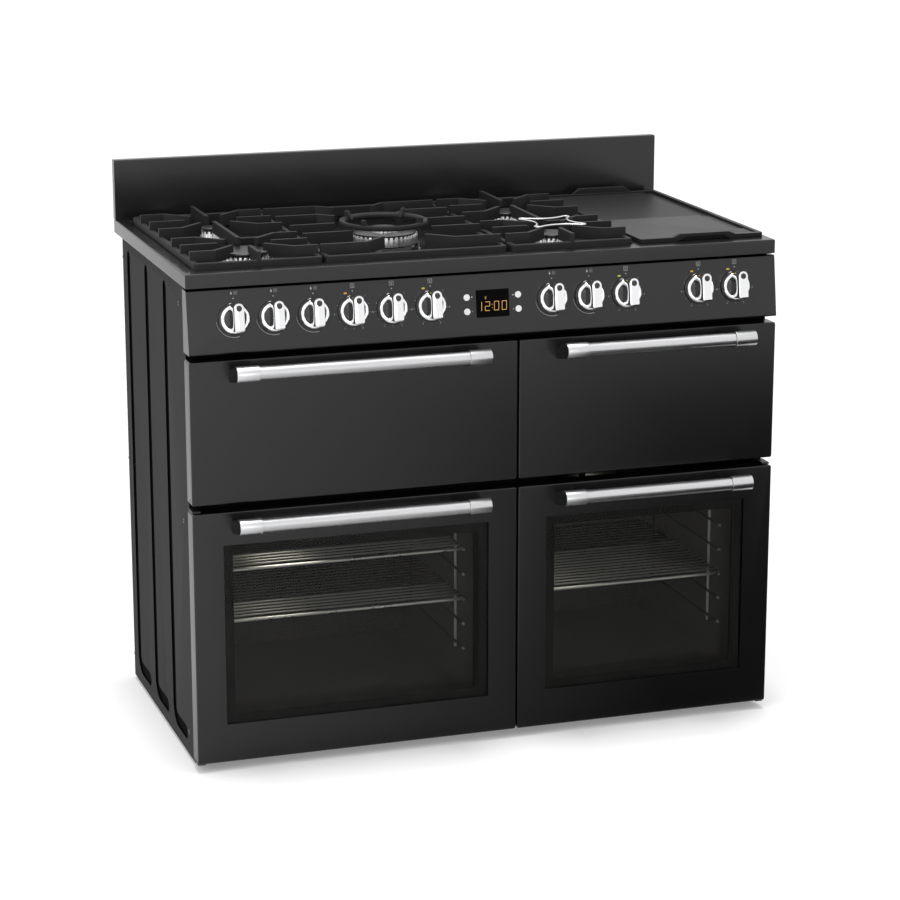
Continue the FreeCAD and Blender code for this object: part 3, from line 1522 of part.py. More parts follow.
def make_runners():
    """Wire ladders on both side walls of the two lower ovens."""
    runners = new_body("shelf_runners", many=True)
    head = "runner_lowest + 4 * runner_pitch + post_above"
    posts = sketch_on(runners, "XY_Plane", "runner_lowest - post_below")
    rails = sketch_on(runners, "XZ_Plane", "-(shelf_front + runner_end)")
    for left, right in (("left_mouth_from", "left_mouth_to"), ("right_mouth_from", "right_mouth_to")):
        for wall, inwards in ((left, 1), (right, -1)):
            for y in ("shelf_front + post_front", "shelf_rear - post_rear"):
                circle(posts, f"{wall} + {inwards} * runner_inset", y, "runner_radius")
            for level in range(5):
                across = f"{wall} + {inwards} * (runner_inset + 1.6 * runner_radius)"
                circle(rails, across, f"runner_lowest + {level} * runner_pitch", "runner_radius")
    grow(runners, "Pad", posts, Length=f"{head} - (runner_lowest - post_below)")
    grow(runners, "Pad", rails, Length="shelf_rear - shelf_front - 2 * runner_end", flip=True)
    finish(runners, "shelf_runners")


def bent_tube(name, corners, bend, radius):
    """A round tube that follows a line of straight runs with rounded bends."""
    points = [V(*(number(text) for text in corner)) for corner in corners]
    bend = number(bend)
    edges = []
    start = points[0]
    for before, corner, after in zip(points, points[1:], points[2:]):
        back = (before - corner).normalize()
        ahead = (after - corner).normalize()
        half = back.getAngle(ahead) / 2
        run = bend / math.tan(half)
        inner = corner + (back + ahead).normalize() * (bend / math.sin(half) - bend)
        first, last = corner + back * run, corner + ahead * run
        edges.append(Part.LineSegment(start, first).toShape())
        edges.append(Part.Arc(first, inner, last).toShape())
        start = last
    edges.append(Part.LineSegment(start, points[-1]).toShape())
    line = doc.addObject("Part::Feature", f"{name}_line")
    line.Shape = Part.Wire(edges)
    section = doc.addObject("Part::Circle", f"{name}_section")
    bind(section, Radius=radius)
    heading = FreeCAD.Rotation(V(0, 0, 1), points[1] - points[0])
    section.Placement = FreeCAD.Placement(points[0], heading)
    tube = doc.addObject("Part::Sweep", name)
    tube.Sections = [section]
    tube.Spine = (line, [])
    tube.Solid = True
    return tube


def make_elements():
    """A flat heating element under the roof of each oven, with its two ends through the back."""
    tubes = []
    for name, (left, right, _, head, back) in mouths().items():
        height = f"{head} - element_drop"
        rear = f"{back} + sheet"
        near_y, far_y = "cabinet_front + element_setback", f"{back} - element_rear_gap"
        x1, x4 = f"{left} + element_inset", f"{right} - element_inset"
        x2, x3 = element_tails(left, right)
        corners = [
            (x2, rear, height),
            (x2, far_y, height),
            (x1, far_y, height),
            (x1, near_y, height),
            (x4, near_y, height),
            (x4, far_y, height),
            (x3, far_y, height),
            (x3, rear, height),
        ]
        tubes.append(bent_tube(f"{name}_element", corners, "element_bend", "element_radius"))
    elements = doc.addObject("Part::Compound", "elements")
    elements.Links = tubes
    finish(elements, "heating_elements")


make_feet()
make_base()
make_sides()
make_back()
make_front_frame()
for mouth_name, mouth in mouths().items():
    make_cavity(f"{mouth_name}_cavity", *mouth)
make_seals()
make_hob()
make_splashback()
make_burners()
two_rows = (("support_front", "rib_between_burners"), ("rib_between_burners - frame_bar", "support_rear"))
one_row = (("support_front", "support_rear"),)
for support_name, left_edge, right_edge, rows, fingers, burners in (
    ("pan_support_left", "left_support_from", "left_support_to", two_rows, side_fingers, BURNERS[:2]),
    ("pan_support_middle", "middle_support_from", "middle_support_to", one_row, wok_fingers, []),
    ("pan_support_right", "right_support_from", "right_support_to", two_rows, side_fingers, BURNERS[3:]),
):
    make_support(support_name, left_edge, right_edge, rows, fingers, burners)
make_wok_ring()
make_trivet()
make_griddle()
make_control_panel()
make_clock()
for knob_name, knob_row, knob_number, _ in KNOBS:
    make_knob(knob_name, knob_place(knob_row, knob_number))
make_controls()
make_button("clock_button_upper_left", "clock_x - button_gap_x", "clock_rise + button_gap_rise")
make_button("clock_button_lower_left", "clock_x - button_gap_x", "clock_rise - button_gap_rise")
make_button("clock_button_upper_right", "clock_x + button_gap_x", "clock_rise + button_gap_rise")
make_button("clock_button_lower_right", "clock_x + button_gap_x", "clock_rise - button_gap_rise")
make_door("grill_door", "left", "upper_foot", "upper_head", False)
make_door("top_oven_door", "right", "upper_foot", "upper_head", False)
make_door("main_oven_door", "left", "lower_foot", "lower_head", True)
make_door("fan_oven_door", "right", "lower_foot", "lower_head", True)
make_hinges()
make_runners()
make_shelf("main_oven_shelf_upper", "left_mouth_from", "left_mouth_to", 4)
make_shelf("main_oven_shelf_lower", "left_mouth_from", "left_mouth_to", 2)
make_shelf("fan_oven_shelf", "right_mouth_from", "right_mouth_to", 2)
make_elements()

doc.recompute()
bad = [o.Label for o in doc.Objects if "Invalid" in o.State or "Error" in o.State]
if bad:
    raise ValueError(f"failed: {bad}")
os.makedirs("parts", exist_ok=True)
for part in sub_parts:
    shape = part.Shape
    if shape.isNull() or not shape.isValid():
        raise ValueError(f"{part.Label} has no valid shape")
    shape.exportStep(f"parts/{part.Label}.step")
    print(f"{part.Label:26s} {len(shape.Solids):3d} solids {shape.Volume / 1000:9.1f} cm3")
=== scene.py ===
# %% [markdown]
# # A range cooker, dressed for its portrait
# The cooker comes from CAD as sixty bare pieces in metres: X along the front, Y to the rear, Z up.
# This lesson gives each piece the form and the finish that the eye sees: rounded sheet edges, cast
# iron, plated wire, brushed bars, printed marks and tinted glass.
# Everything is placed from the CAD pieces themselves, so nothing here has to be fitted by hand.

# %% Load the frame
import json
from math import acos, atan2, cos, pi, radians, sin, sqrt, tau

import bmesh
import bpy
from mathutils import Matrix, Vector


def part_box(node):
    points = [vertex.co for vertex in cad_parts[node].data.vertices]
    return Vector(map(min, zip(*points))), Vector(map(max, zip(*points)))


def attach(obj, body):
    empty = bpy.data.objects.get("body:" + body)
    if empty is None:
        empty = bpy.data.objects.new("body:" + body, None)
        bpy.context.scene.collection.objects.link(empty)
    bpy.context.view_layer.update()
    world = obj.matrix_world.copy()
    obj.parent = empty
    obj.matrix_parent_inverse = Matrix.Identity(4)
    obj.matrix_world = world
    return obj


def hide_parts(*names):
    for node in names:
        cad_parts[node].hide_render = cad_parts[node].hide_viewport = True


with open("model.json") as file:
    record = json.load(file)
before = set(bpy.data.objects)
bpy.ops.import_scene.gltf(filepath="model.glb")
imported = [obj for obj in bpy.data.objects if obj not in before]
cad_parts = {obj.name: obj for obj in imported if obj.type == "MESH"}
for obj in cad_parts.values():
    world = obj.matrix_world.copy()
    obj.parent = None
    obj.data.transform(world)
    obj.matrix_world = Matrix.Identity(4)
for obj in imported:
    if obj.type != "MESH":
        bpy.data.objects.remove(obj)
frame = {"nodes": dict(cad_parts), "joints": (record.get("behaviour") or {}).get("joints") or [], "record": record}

MM = 0.001
MERGE = 2e-6  # metres within which two CAD corners are the same point
TO_METRES = Matrix.Scale(MM, 4)
nodes = frame["nodes"]
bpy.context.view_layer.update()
home = {node: body for body, members in frame["record"]["behaviour"]["bodies"].items() for node in members}
joint_of = {joint["child"]: joint for joint in frame["joints"]}

# %% [markdown]
# ## The camera
# The camera was worked out from the straight edges in the photograph. It stands to the left of the
# cooker, looks a little down on the hob, and has a long lens, so that upright edges hardly converge.

# %% The camera
camera_data = bpy.data.cameras.new("camera")
camera = bpy.data.objects.new("camera", camera_data)
bpy.context.scene.collection.objects.link(camera)
camera.location = (-1.580, -4.8034, 1.784)
camera.rotation_euler = (radians(90 - 14.42), 0, radians(-18.34))
camera_data.lens = 110.7
camera_data.sensor_width = 36
bpy.context.scene.camera = camera
bpy.context.scene.view_settings.view_transform = "Standard"
print("camera looks from", [round(v, 2) for v in camera.location])

# %% [markdown]
# ## Shared effects
# Three effects turn up in many finishes: the faint orange-peel of sprayed enamel, the long scratches
# of brushed metal, and the pits of a casting.  Each is built once as a node group with named sockets,
# and every material that uses it gives it its own values.

# %% A helper that starts a node group
def start_group(name, inputs, outputs):
    """A shader node group with named float inputs (and a Vector) and float outputs."""
    tree = bpy.data.node_groups.new(name, "ShaderNodeTree")
    tree.interface.new_socket("Vector", in_out="INPUT", socket_type="NodeSocketVector")
    for label, value in inputs.items():
        socket = tree.interface.new_socket(label, in_out="INPUT", socket_type="NodeSocketFloat")
        socket.default_value = value
    for label in outputs:
        tree.interface.new_socket(label, in_out="OUTPUT", socket_type="NodeSocketFloat")
    enter = tree.nodes.new("NodeGroupInput")
    leave = tree.nodes.new("NodeGroupOutput")
    return tree, enter, leave


def add_node(tree, kind, values=None, links=None, **settings):
    """A node with its settings, its socket values and the sockets that feed it."""
    node = tree.nodes.new(kind)
    for key, value in settings.items():
        setattr(node, key, value)
    for key, value in (values or {}).items():
        node.inputs[key].default_value = value
    for key, source in (links or {}).items():
        tree.links.new(source, node.inputs[key])
    return node


def add_math(tree, operation, *terms, clamp=False):
    """The output of a Math node whose terms are numbers or sockets."""
    node = tree.nodes.new("ShaderNodeMath")
    node.operation, node.use_clamp = operation, clamp
    for place, term in enumerate(terms):
        if isinstance(term, (int, float)):
            node.inputs[place].default_value = term
        else:
            tree.links.new(term, node.inputs[place])
    return node.outputs[0]


def add_noise(tree, vector, scale, **values):
    """The 0 to 1 output of a noise texture fed by two sockets."""
    return add_node(tree, "ShaderNodeTexNoise", values, {"Vector": vector, "Scale": scale}).outputs[0]


# %% Sprayed enamel: a faint ripple and a few soft smears
def make_spray_group():
    """Puts out a bump height and a change of roughness for sprayed and fired enamel."""
    sizes = {"Ripple size": 700, "Smear size": 5, "Smear depth": 0.05}
    tree, enter, leave = start_group("sprayed enamel", sizes, ("Height", "Roughness change"))
    given = enter.outputs
    ripple = add_noise(tree, given["Vector"], given["Ripple size"], Detail=2)
    smear = add_noise(tree, given["Vector"], given["Smear size"], Detail=4, Distortion=1.2)
    centred = add_math(tree, "SUBTRACT", smear, 0.5)
    scaled = add_math(tree, "MULTIPLY", centred, given["Smear depth"])
    tree.links.new(ripple, leave.inputs["Height"])
    tree.links.new(scaled, leave.inputs["Roughness change"])
    return tree


spray_group = make_spray_group()
print("effect:", spray_group.name)


# %% Brushed metal: scratches drawn out along X
def make_brush_group():
    """Puts out a scratch pattern, 0 to 1, drawn out along X."""
    tree, enter, leave = start_group("brushed metal", {"Fineness": 900}, ("Scratches",))
    given = enter.outputs
    drawn = add_node(
        tree, "ShaderNodeVectorMath", {1: (0.012, 1, 1)}, {0: given["Vector"]}, operation="MULTIPLY"
    )
    scratches = add_noise(tree, drawn.outputs[0], given["Fineness"], Detail=3, Roughness=0.7)
    tree.links.new(scratches, leave.inputs["Scratches"])
    return tree


brush_group = make_brush_group()
print("effect:", brush_group.name)


# %% Castings: fine pits over broader waves
def make_cast_group():
    """Puts out a bump height, and a mask for the paler worn grain of a casting."""
    tree, enter, leave = start_group("cast grain", {"Grain size": 1400, "Wave size": 60}, ("Height", "Grain"))
    given = enter.outputs
    grain = add_noise(tree, given["Vector"], given["Grain size"], Detail=5, Roughness=0.65)
    wave = add_noise(tree, given["Vector"], given["Wave size"], Detail=3)
    tree.links.new(add_math(tree, "MULTIPLY_ADD", wave, 0.35, grain), leave.inputs["Height"])
    tree.links.new(grain, leave.inputs["Grain"])
    return tree


cast_group = make_cast_group()
print("effect:", cast_group.name)


# %% [markdown]
# ## Finishes
# A finish starts from one helper, which makes a Principled material with Object coordinates ready.
# Small helpers then place one of the shared effects, and join it to the bump, the roughness or the
# colour.

# %% Start a finish
def start_finish(name, colour, rough, metal=0.0, shine=0.5, **more):
    """A material with one Principled shader, and the object coordinates that patterns follow."""
    material = bpy.data.materials.new(name)
    material.use_nodes = True
    tree = material.node_tree
    shader = tree.nodes["Principled BSDF"]
    shader.inputs["Base Color"].default_value = (*colour, 1)
    shader.inputs["Roughness"].default_value = rough
    shader.inputs["Metallic"].default_value = metal
    shader.inputs["Specular IOR Level"].default_value = shine
    for label, value in more.items():
        shader.inputs[label.replace("_", " ")].default_value = value
    place = tree.nodes.new("ShaderNodeTexCoord").outputs["Object"]
    return material, tree, shader, place


def place_group(tree, group, place, **values):
    """One shared effect, placed in a material with its own values."""
    node = tree.nodes.new("ShaderNodeGroup")
    node.node_tree = group
    tree.links.new(place, node.inputs["Vector"])
    for label, value in values.items():
        node.inputs[label.replace("_", " ")].default_value = value
    return node


def bump_from(tree, shader, height, strength, depth):
    """Joins a height to the shader's normal; depth is the height of a full bump in metres."""
    bump = add_node(tree, "ShaderNodeBump", {"Strength": strength, "Distance": depth}, {"Height": height})
    tree.links.new(bump.outputs[0], shader.inputs["Normal"])


def vary(tree, shader, socket, value, low, high):
    """Lets a pattern, most of which lies between 0.3 and 0.7, move a shader's value from low to high."""
    spread = add_node(tree, "ShaderNodeMapRange", {1: 0.3, 2: 0.7, 3: low, 4: high}, {0: value})
    tree.links.new(spread.outputs[0], shader.inputs[socket])


def mix_colours(tree, shader, factor, low, high, socket="Base Color"):
    """Lets a 0 to 1 pattern move one of the shader's colours between low and high."""
    mix = add_node(tree, "ShaderNodeMix", None, {0: factor}, data_type="RGBA")
    mix.inputs[6].default_value = (*low, 1)
    mix.inputs[7].default_value = (*high, 1)
    tree.links.new(mix.outputs[2], shader.inputs[socket])


def smear_from(tree, shader, spray, rough):
    """Lets the smears of the sprayed effect move the roughness about its own value."""
    smeared = add_math(tree, "ADD", spray.outputs["Roughness change"], rough)
    tree.links.new(smeared, shader.inputs["Roughness"])

# %% Enamelled and painted sheet
def sheet_finish(name, colour, rough, ripple=0.05, smear=0.06, **more):
    """Sprayed sheet metal: an even colour, a faint ripple, and smears that only show in reflections."""
    material, tree, shader, place = start_finish(name, colour, rough, **more)
    spray = place_group(tree, spray_group, place, Smear_depth=smear)
    smear_from(tree, shader, spray, rough)
    bump_from(tree, shader, spray.outputs["Height"], ripple, 0.0004)
    return material


front_black = sheet_finish("front black", (0.005, 0.005, 0.0052), 0.25, smear=0.04, shine=0.55)
frame_black = sheet_finish("frame black", (0.002, 0.002, 0.002), 0.60, shine=0.05)
hob_enamel = sheet_finish("hob enamel", (0.010, 0.010, 0.010), 0.24, ripple=0.03, smear=0.04)
splash_enamel = sheet_finish("splashback enamel", (0.014, 0.014, 0.014), 0.20, ripple=0.03, smear=0.04)
# satin black made paler to stand in for the light from the left: partly the paint's own colour, partly painted
# light
side_black_with_painted_light = sheet_finish("side black with painted light", (0.031, 0.031, 0.032), 0.72, ripple=0.10, shine=0.12)
# painted shade: a near-black finish for the faces inside the side panels' pressed grooves
painted_groove_shade = sheet_finish("painted groove shade", (0.002, 0.002, 0.002), 0.80, shine=0.02)
# oven enamel made paler so that the windows fill with a flat grey: partly its own colour, partly painted light
oven_enamel_painted_light = sheet_finish("oven enamel with painted light", (0.085, 0.085, 0.085), 0.50, ripple=0.0, shine=0.1)
cap_enamel = sheet_finish("cap enamel", (0.020, 0.020, 0.020), 0.32, ripple=0.10)
print("sheet finishes made")


# %% Castings: pan supports, griddle and burner heads
def cast_finish(name, colour, rough, bumps, metal=0.0, grain=1400, **more):
    """A cast surface with pits, whose grain is a shade paler and rougher on its peaks."""
    material, tree, shader, place = start_finish(name, colour, rough, metal, **more)
    cast = place_group(tree, cast_group, place, Grain_size=grain)
    paler = [min(1, c * 1.5 + 0.004) for c in colour]
    mix_colours(tree, shader, cast.outputs["Grain"], colour, paler)
    vary(tree, shader, "Roughness", cast.outputs["Grain"], rough - 0.06, rough + 0.08)
    bump_from(tree, shader, cast.outputs["Height"], bumps, 0.0006)
    return material


cast_iron = cast_finish("cast iron", (0.020, 0.020, 0.0205), 0.55, 0.22, shine=0.18)
griddle_coat = cast_finish("griddle coating", (0.018, 0.018, 0.0185), 0.45, 0.04, grain=2200, shine=0.10)
# a paler, coarser finish for the front half of the griddle's sunken floor
griddle_front_finish = cast_finish("griddle front finish", (0.070, 0.070, 0.071), 0.50, 0.10, grain=1800, shine=0.10)
burner_alloy = cast_finish("burner alloy", (0.50, 0.50, 0.51), 0.34, 0.12, metal=1.0, grain=900)
print("castings made")


# %% Bright metals
def brushed_finish(name, colour, low, high, fineness=900):
    """Brushed steel: the scratches change the roughness and the shade from line to line."""
    material, tree, shader, place = start_finish(name, colour, low, 1.0)
    brush = place_group(tree, brush_group, place, Fineness=fineness)
    vary(tree, shader, "Roughness", brush.outputs["Scratches"], low, high)
    darker, paler = ([min(1, c * change) for c in colour] for change in (0.82, 1.18))
    mix_colours(tree, shader, brush.outputs["Scratches"], darker, paler)
    bump_from(tree, shader, brush.outputs["Scratches"], 0.12, 0.0002)
    return material


def plated_finish(name, colour, rough):
    """Polished plating, with the faintest smears."""
    material, tree, shader, place = start_finish(name, colour, rough, 1.0)
    spray = place_group(tree, spray_group, place, Smear_size=25, Smear_depth=0.05)
    smear_from(tree, shader, spray, rough)
    return material


handle_bar = brushed_finish("handle bar", (0.66, 0.66, 0.67), 0.24, 0.38)
handle_end = brushed_finish("handle end", (0.66, 0.66, 0.67), 0.26, 0.36, fineness=1500)
zinc_sheet = brushed_finish("zinc sheet", (0.50, 0.51, 0.53), 0.35, 0.50, fineness=60)
dark_steel = brushed_finish("dark steel", (0.06, 0.06, 0.06), 0.40, 0.55)
element_sheath = brushed_finish("element sheath", (0.16, 0.14, 0.13), 0.45, 0.60)
knob_plating = plated_finish("knob plating", (0.88, 0.88, 0.89), 0.07)
wire_plating = plated_finish("wire plating", (0.80, 0.80, 0.81), 0.28)
# painted shade: a dark copy of the wire plating for wire deep in the oven, where shade falls
painted_shade_wire = plated_finish("painted shade wire", (0.035, 0.035, 0.035), 0.50)
runner_zinc = plated_finish("runner zinc", (0.95, 0.95, 0.95), 0.45)
rod_plating = plated_finish("rod plating", (0.34, 0.34, 0.34), 0.34)
pipe_brass = plated_finish("pipe brass", (0.68, 0.50, 0.22), 0.28)
print("metals made")


# %% Plastics, rubber and prints
def moulded_finish(name, colour, rough, bumps=0.05, **more):
    """Moulded plastic or rubber, with a fine spark-eroded grain."""
    material, tree, shader, place = start_finish(name, colour, rough, **more)
    cast = place_group(tree, cast_group, place, Grain_size=2600, Wave_size=200)
    vary(tree, shader, "Roughness", cast.outputs["Grain"], max(0.02, rough - 0.04), rough + 0.04)
    bump_from(tree, shader, cast.outputs["Height"], bumps, 0.0002)
    return material


knob_black = moulded_finish("knob black", (0.006, 0.006, 0.006), 0.20, 0.02)
button_white = moulded_finish("button white", (0.92, 0.92, 0.92), 0.25, 0.02)
foot_plastic = moulded_finish("foot plastic", (0.012, 0.012, 0.012), 0.55)
switch_plastic = moulded_finish("switch plastic", (0.55, 0.54, 0.50), 0.50)
seal_rubber = moulded_finish("seal rubber", (0.010, 0.010, 0.010), 0.75, 0.4)
clock_black = moulded_finish("clock black", (0.001, 0.001, 0.001), 0.08, 0.0, shine=0.04)
insert_grey = moulded_finish("insert grey", (0.030, 0.030, 0.030), 0.35, 0.02)
glass_print = moulded_finish("glass print", (0.002, 0.002, 0.002), 0.50, 0.0, shine=0.1)
panel_ink = moulded_finish("panel ink", (0.42, 0.42, 0.42), 0.50, 0.0)
faint_ink = moulded_finish("faint ink", (0.10, 0.10, 0.10), 0.50, 0.0)
print("plastics made")


# %% Things that glow: the clock's figures and the pilot lamps
def glow_finish(name, colour, strength):
    """A lit plastic or a lit figure."""
    material, tree, shader, place = start_finish(name, [c * 0.4 for c in colour], 0.2)
    cast = place_group(tree, cast_group, place, Grain_size=3000)
    dimmer = [c * 0.9 for c in colour]
    mix_colours(tree, shader, cast.outputs["Grain"], dimmer, colour, "Emission Color")
    shader.inputs["Emission Strength"].default_value = strength
    return material


clock_figures = glow_finish("clock figures", (0.90, 0.48, 0.12), 0.65)
clock_icons = glow_finish("clock icons", (0.45, 0.30, 0.08), 0.5)
amber_lamp = glow_finish("amber lamp", (0.85, 0.38, 0.05), 0.5)
yellow_lamp = glow_finish("yellow lamp", (0.75, 0.55, 0.06), 0.5)
green_lamp = glow_finish("yellow-green lamp", (0.50, 0.60, 0.10), 0.5)
print("lamps made")


# %% Oven door glass
def make_door_glass():
    """Tinted float glass: clear enough to show the shelves, dark enough to hide the walls."""
    material, tree, shader, place = start_finish(
        "door glass", (0.70, 0.70, 0.68), 0.0, Transmission_Weight=1.0, IOR=1.18
    )
    spray = place_group(tree, spray_group, place)
    mix_colours(tree, shader, spray.outputs["Height"], (0.68, 0.68, 0.66), (0.74, 0.74, 0.72))
    return material


door_glass = make_door_glass()
print("glass made")


# %% [markdown]
# ## Making pieces
# Some pieces start from a clean copy of a CAD piece, whose edges are then rounded.  Others are turned
# on a lathe, cut from an outline or drawn as a tube.  Every piece ends in the same way: it gets its
# finish, rides on its body, and stands for the CAD pieces that it replaces.

# %% Turn a mesh or a bmesh into a finished piece
def finish_piece(name, mesh, materials, node, stands_for=(), smooth=35):
    """Links a mesh as a piece that rides where its CAD node rides."""
    for material in materials:
        mesh.materials.append(material)
    mesh.shade_smooth()
    mesh.set_sharp_from_angle(angle=radians(smooth))
    piece = bpy.data.objects.new(name, mesh)
    bpy.context.scene.collection.objects.link(piece)
    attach(piece, home[node])
    if stands_for:
        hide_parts(*stands_for)
    return piece


def finish_bm(name, bm, materials, node, stands_for=(), smooth=35):
    """Merges a bmesh's doubles, points its faces outwards, and finishes it as a piece."""
    bmesh.ops.remove_doubles(bm, verts=bm.verts, dist=1e-6)
    bmesh.ops.recalc_face_normals(bm, faces=bm.faces)
    mesh = bpy.data.meshes.new(name)
    bm.to_mesh(mesh)
    bm.free()
    return finish_piece(name, mesh, materials, node, stands_for, smooth)


def add_part(bm, part, matrix):
    """Moves a part into its place, and joins it to the piece that is being built."""
    part.transform(matrix)
    mesh = bpy.data.meshes.new("part")
    part.to_mesh(mesh)
    bm.from_mesh(mesh)
    part.free()


def bridge(bm, low, high, material=0):
    """Joins two rings of corners with a band of four-cornered faces."""
    faces = []
    for i in range(len(low)):
        after = (i + 1) % len(low)
        faces.append(bm.faces.new((low[i], low[after], high[after], high[i])))
        faces[-1].material_index = material
    return faces


def round_edges(piece, width, segments=2, angle=40, harden=True):
    """Rounds every edge that is sharper than an angle in degrees."""
    bevel = piece.modifiers.new("round edges", "BEVEL")
    bevel.width = width
    bevel.segments = segments
    bevel.limit_method = "ANGLE"
    bevel.angle_limit = radians(angle)
    bevel.use_clamp_overlap = True
    bevel.harden_normals = harden


# %% A softened copy of a CAD piece
def softened(node, material, width, segments=2):
    """A clean copy of a CAD piece with its hard edges rounded by width."""
    mesh = nodes[node].data.copy()
    mesh.materials.clear()
    bm = bmesh.new()
    bm.from_mesh(mesh)
    bmesh.ops.remove_doubles(bm, verts=bm.verts, dist=MERGE)
    bmesh.ops.dissolve_limit(bm, angle_limit=radians(0.5), verts=bm.verts, edges=bm.edges)
    bm.to_mesh(mesh)
    bm.free()
    piece = finish_piece(f"{node}_body", mesh, [material], node, [node], smooth=30)
    round_edges(piece, width, segments)
    return piece


softened("hob_top", hob_enamel, 0.6 * MM)
softened("splashback", splash_enamel, 0.5 * MM)
softened("control_panel", front_black, 0.5 * MM)
softened("front_frame", frame_black, 0.3 * MM)

GROOVE_FROM, GROOVE_TO = 0.4 * MM, 3.2 * MM
PANEL_FOLD = 20 * MM


def shade_grooves(piece, node):
    """Gives the pressed grooves of a side panel, which lie back from its face, painted shade: a near-black finish
    for the shade in their recesses.
    """
    low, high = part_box(node)
    face = low.x if low.x < 0 else high.x
    piece.data.materials.append(painted_groove_shade)
    for polygon in piece.data.polygons:
        depth = abs(polygon.center.x - face)
        inside = low.y + PANEL_FOLD < polygon.center.y < high.y - PANEL_FOLD
        # faces recessed into a groove take the painted shade
        if GROOVE_FROM < depth < GROOVE_TO and inside:
            polygon.material_index = 1


for node in ("side_panel_left", "side_panel_right"):
    shade_grooves(softened(node, side_black_with_painted_light, 0.5 * MM), node)
for node in nodes:
    if node.endswith("_door_panel"):
        softened(node, front_black, 0.5 * MM)
for side in ("left", "middle", "right"):
    softened(f"pan_support_{side}", cast_iron, 1.0 * MM)
print("softened the sheet pieces and the pan supports")


# %% [markdown]
# ## Pieces in two finishes
# The griddle plate has two zones: a rear half with fine grain, and a paler, coarser front half.  One
# helper cuts a piece along a plane and gives its second finish to the faces that a test picks.  The
# shelves and the runners use it too, further down: their wire deep in the oven is painted shade.

# %% Two finishes on one piece: the griddle plate
def colour_part(piece, material, plane, normal, wanted):
    """Cuts a piece along a plane, and gives a finish to the faces that a test picks."""
    piece.data.materials.append(material)
    bm = bmesh.new()
    bm.from_mesh(piece.data)
    everything = list(bm.verts) + list(bm.edges) + list(bm.faces)
    bmesh.ops.bisect_plane(bm, geom=everything, plane_co=plane, plane_no=normal)
    for face in bm.faces:
        if wanted(face, face.calc_center_median()):
            face.material_index = 1
    bm.to_mesh(piece.data)
    bm.free()


GRIDDLE_MIDDLE = 0.0
griddle = softened("griddle_plate", griddle_coat, 0.8 * MM)
griddle_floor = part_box("griddle_plate")[1].z - 10 * MM


def in_front_zone(face, middle):
    """Whether a face belongs to the front half of the griddle's sunken floor."""
    return face.normal.z > 0.9 and middle.y < GRIDDLE_MIDDLE and middle.z < griddle_floor


colour_part(griddle, griddle_front_finish, (0, GRIDDLE_MIDDLE, 0), (0, 1, 0), in_front_zone)
softened("levelling_feet", foot_plastic, 0.5 * MM)
print("made the griddle and the feet")


# %% [markdown]
# ## CAD pieces that keep their own mesh
# Pieces hidden behind others, and flat panes, already have the right shape.  They only need a finish,
# which goes into the slots that they came with.

# %% Finishes for the pieces kept as they are
kept = {
    "back_panel": zinc_sheet,
    "chassis_base": side_black_with_painted_light,
    "door_hinges": dark_steel,
    "door_seals": seal_rubber,
    "gas_manifold": pipe_brass,
    "oven_switches": switch_plastic,
    "heating_elements": element_sheath,
    "clock_display": clock_black,
    "main_oven_door_glass": door_glass,
    "fan_oven_door_glass": door_glass,
}
for oven in ("grill", "top_oven", "main_oven", "fan_oven"):
    kept[f"{oven}_cavity"] = kept[f"{oven}_door_liner"] = oven_enamel_painted_light
for node, material in kept.items():
    for slot in nodes[node].material_slots:
        slot.material = material
print("kept", len(kept), "CAD pieces as they are")


# %% [markdown]
# ## Round things
# Knobs, burners and the wok ring are turned.  The lathe below takes a profile of radius and height
# pairs and spins it by hand, which leaves the poles closed and the faces in tidy rings.

# %% The lathe
def lathe(bm, profile, steps, centre=(0, 0), material=0, foot=0.0, lift=None):
    """Adds a turned solid that starts at foot; lift may move a point by its step, for notches."""
    rings = []
    for place, (radius, height) in enumerate(profile):
        height += foot
        if radius == 0:
            rings.append([bm.verts.new((*centre, height))] * steps)
            continue
        ring = []
        for step in range(steps):
            turn = tau * step / steps
            x, y = centre[0] + radius * cos(turn), centre[1] + radius * sin(turn)
            ring.append(bm.verts.new((x, y, height + (lift(place, step) if lift else 0))))
        rings.append(ring)
    for low, high in zip(rings, rings[1:]):
        for step in range(steps):
            after = (step + 1) % steps
            corners = []
            for vert in (low[step], low[after], high[after], high[step]):
                if vert not in corners:
                    corners.append(vert)
            if len(corners) > 2:
                bm.faces.new(corners).material_index = material


def rounded(centre, radius, start, stop, steps=4):
    """Points round an arc in a profile, angles in degrees."""
    turns = [radians(start + (stop - start) * i / steps) for i in range(steps + 1)]
    return [(centre[0] + radius * cos(turn), centre[1] + radius * sin(turn)) for turn in turns]


# %% [markdown]
# ## Knobs
# Each knob is a black skirt, a bright domed ring round a sunken black disc, and a tall bright grip
# that crosses it and pokes out past the ring at the top.  The grip is waisted near its foot and
# straight at its face, so it is lofted through a stack of outlines.

# %% The knob's outlines, in millimetres about its own centre
GRIP_HALF = 9.0
GRIP_FLARE, FLARE_TALL = 4.0, 13
GRIP_FOOT, GRIP_HEAD, GRIP_TOP = -21.0, 19.5, 39.7
GRIP_LEVELS = [(level, 0.0) for level in (4.0, 5.5, 7.5, 10.0, 13.0, 17.0, 27.0)]
GRIP_LEVELS += [(GRIP_TOP - 1.2, 0.0), (GRIP_TOP - 0.4, 0.35), (GRIP_TOP, 1.1)]


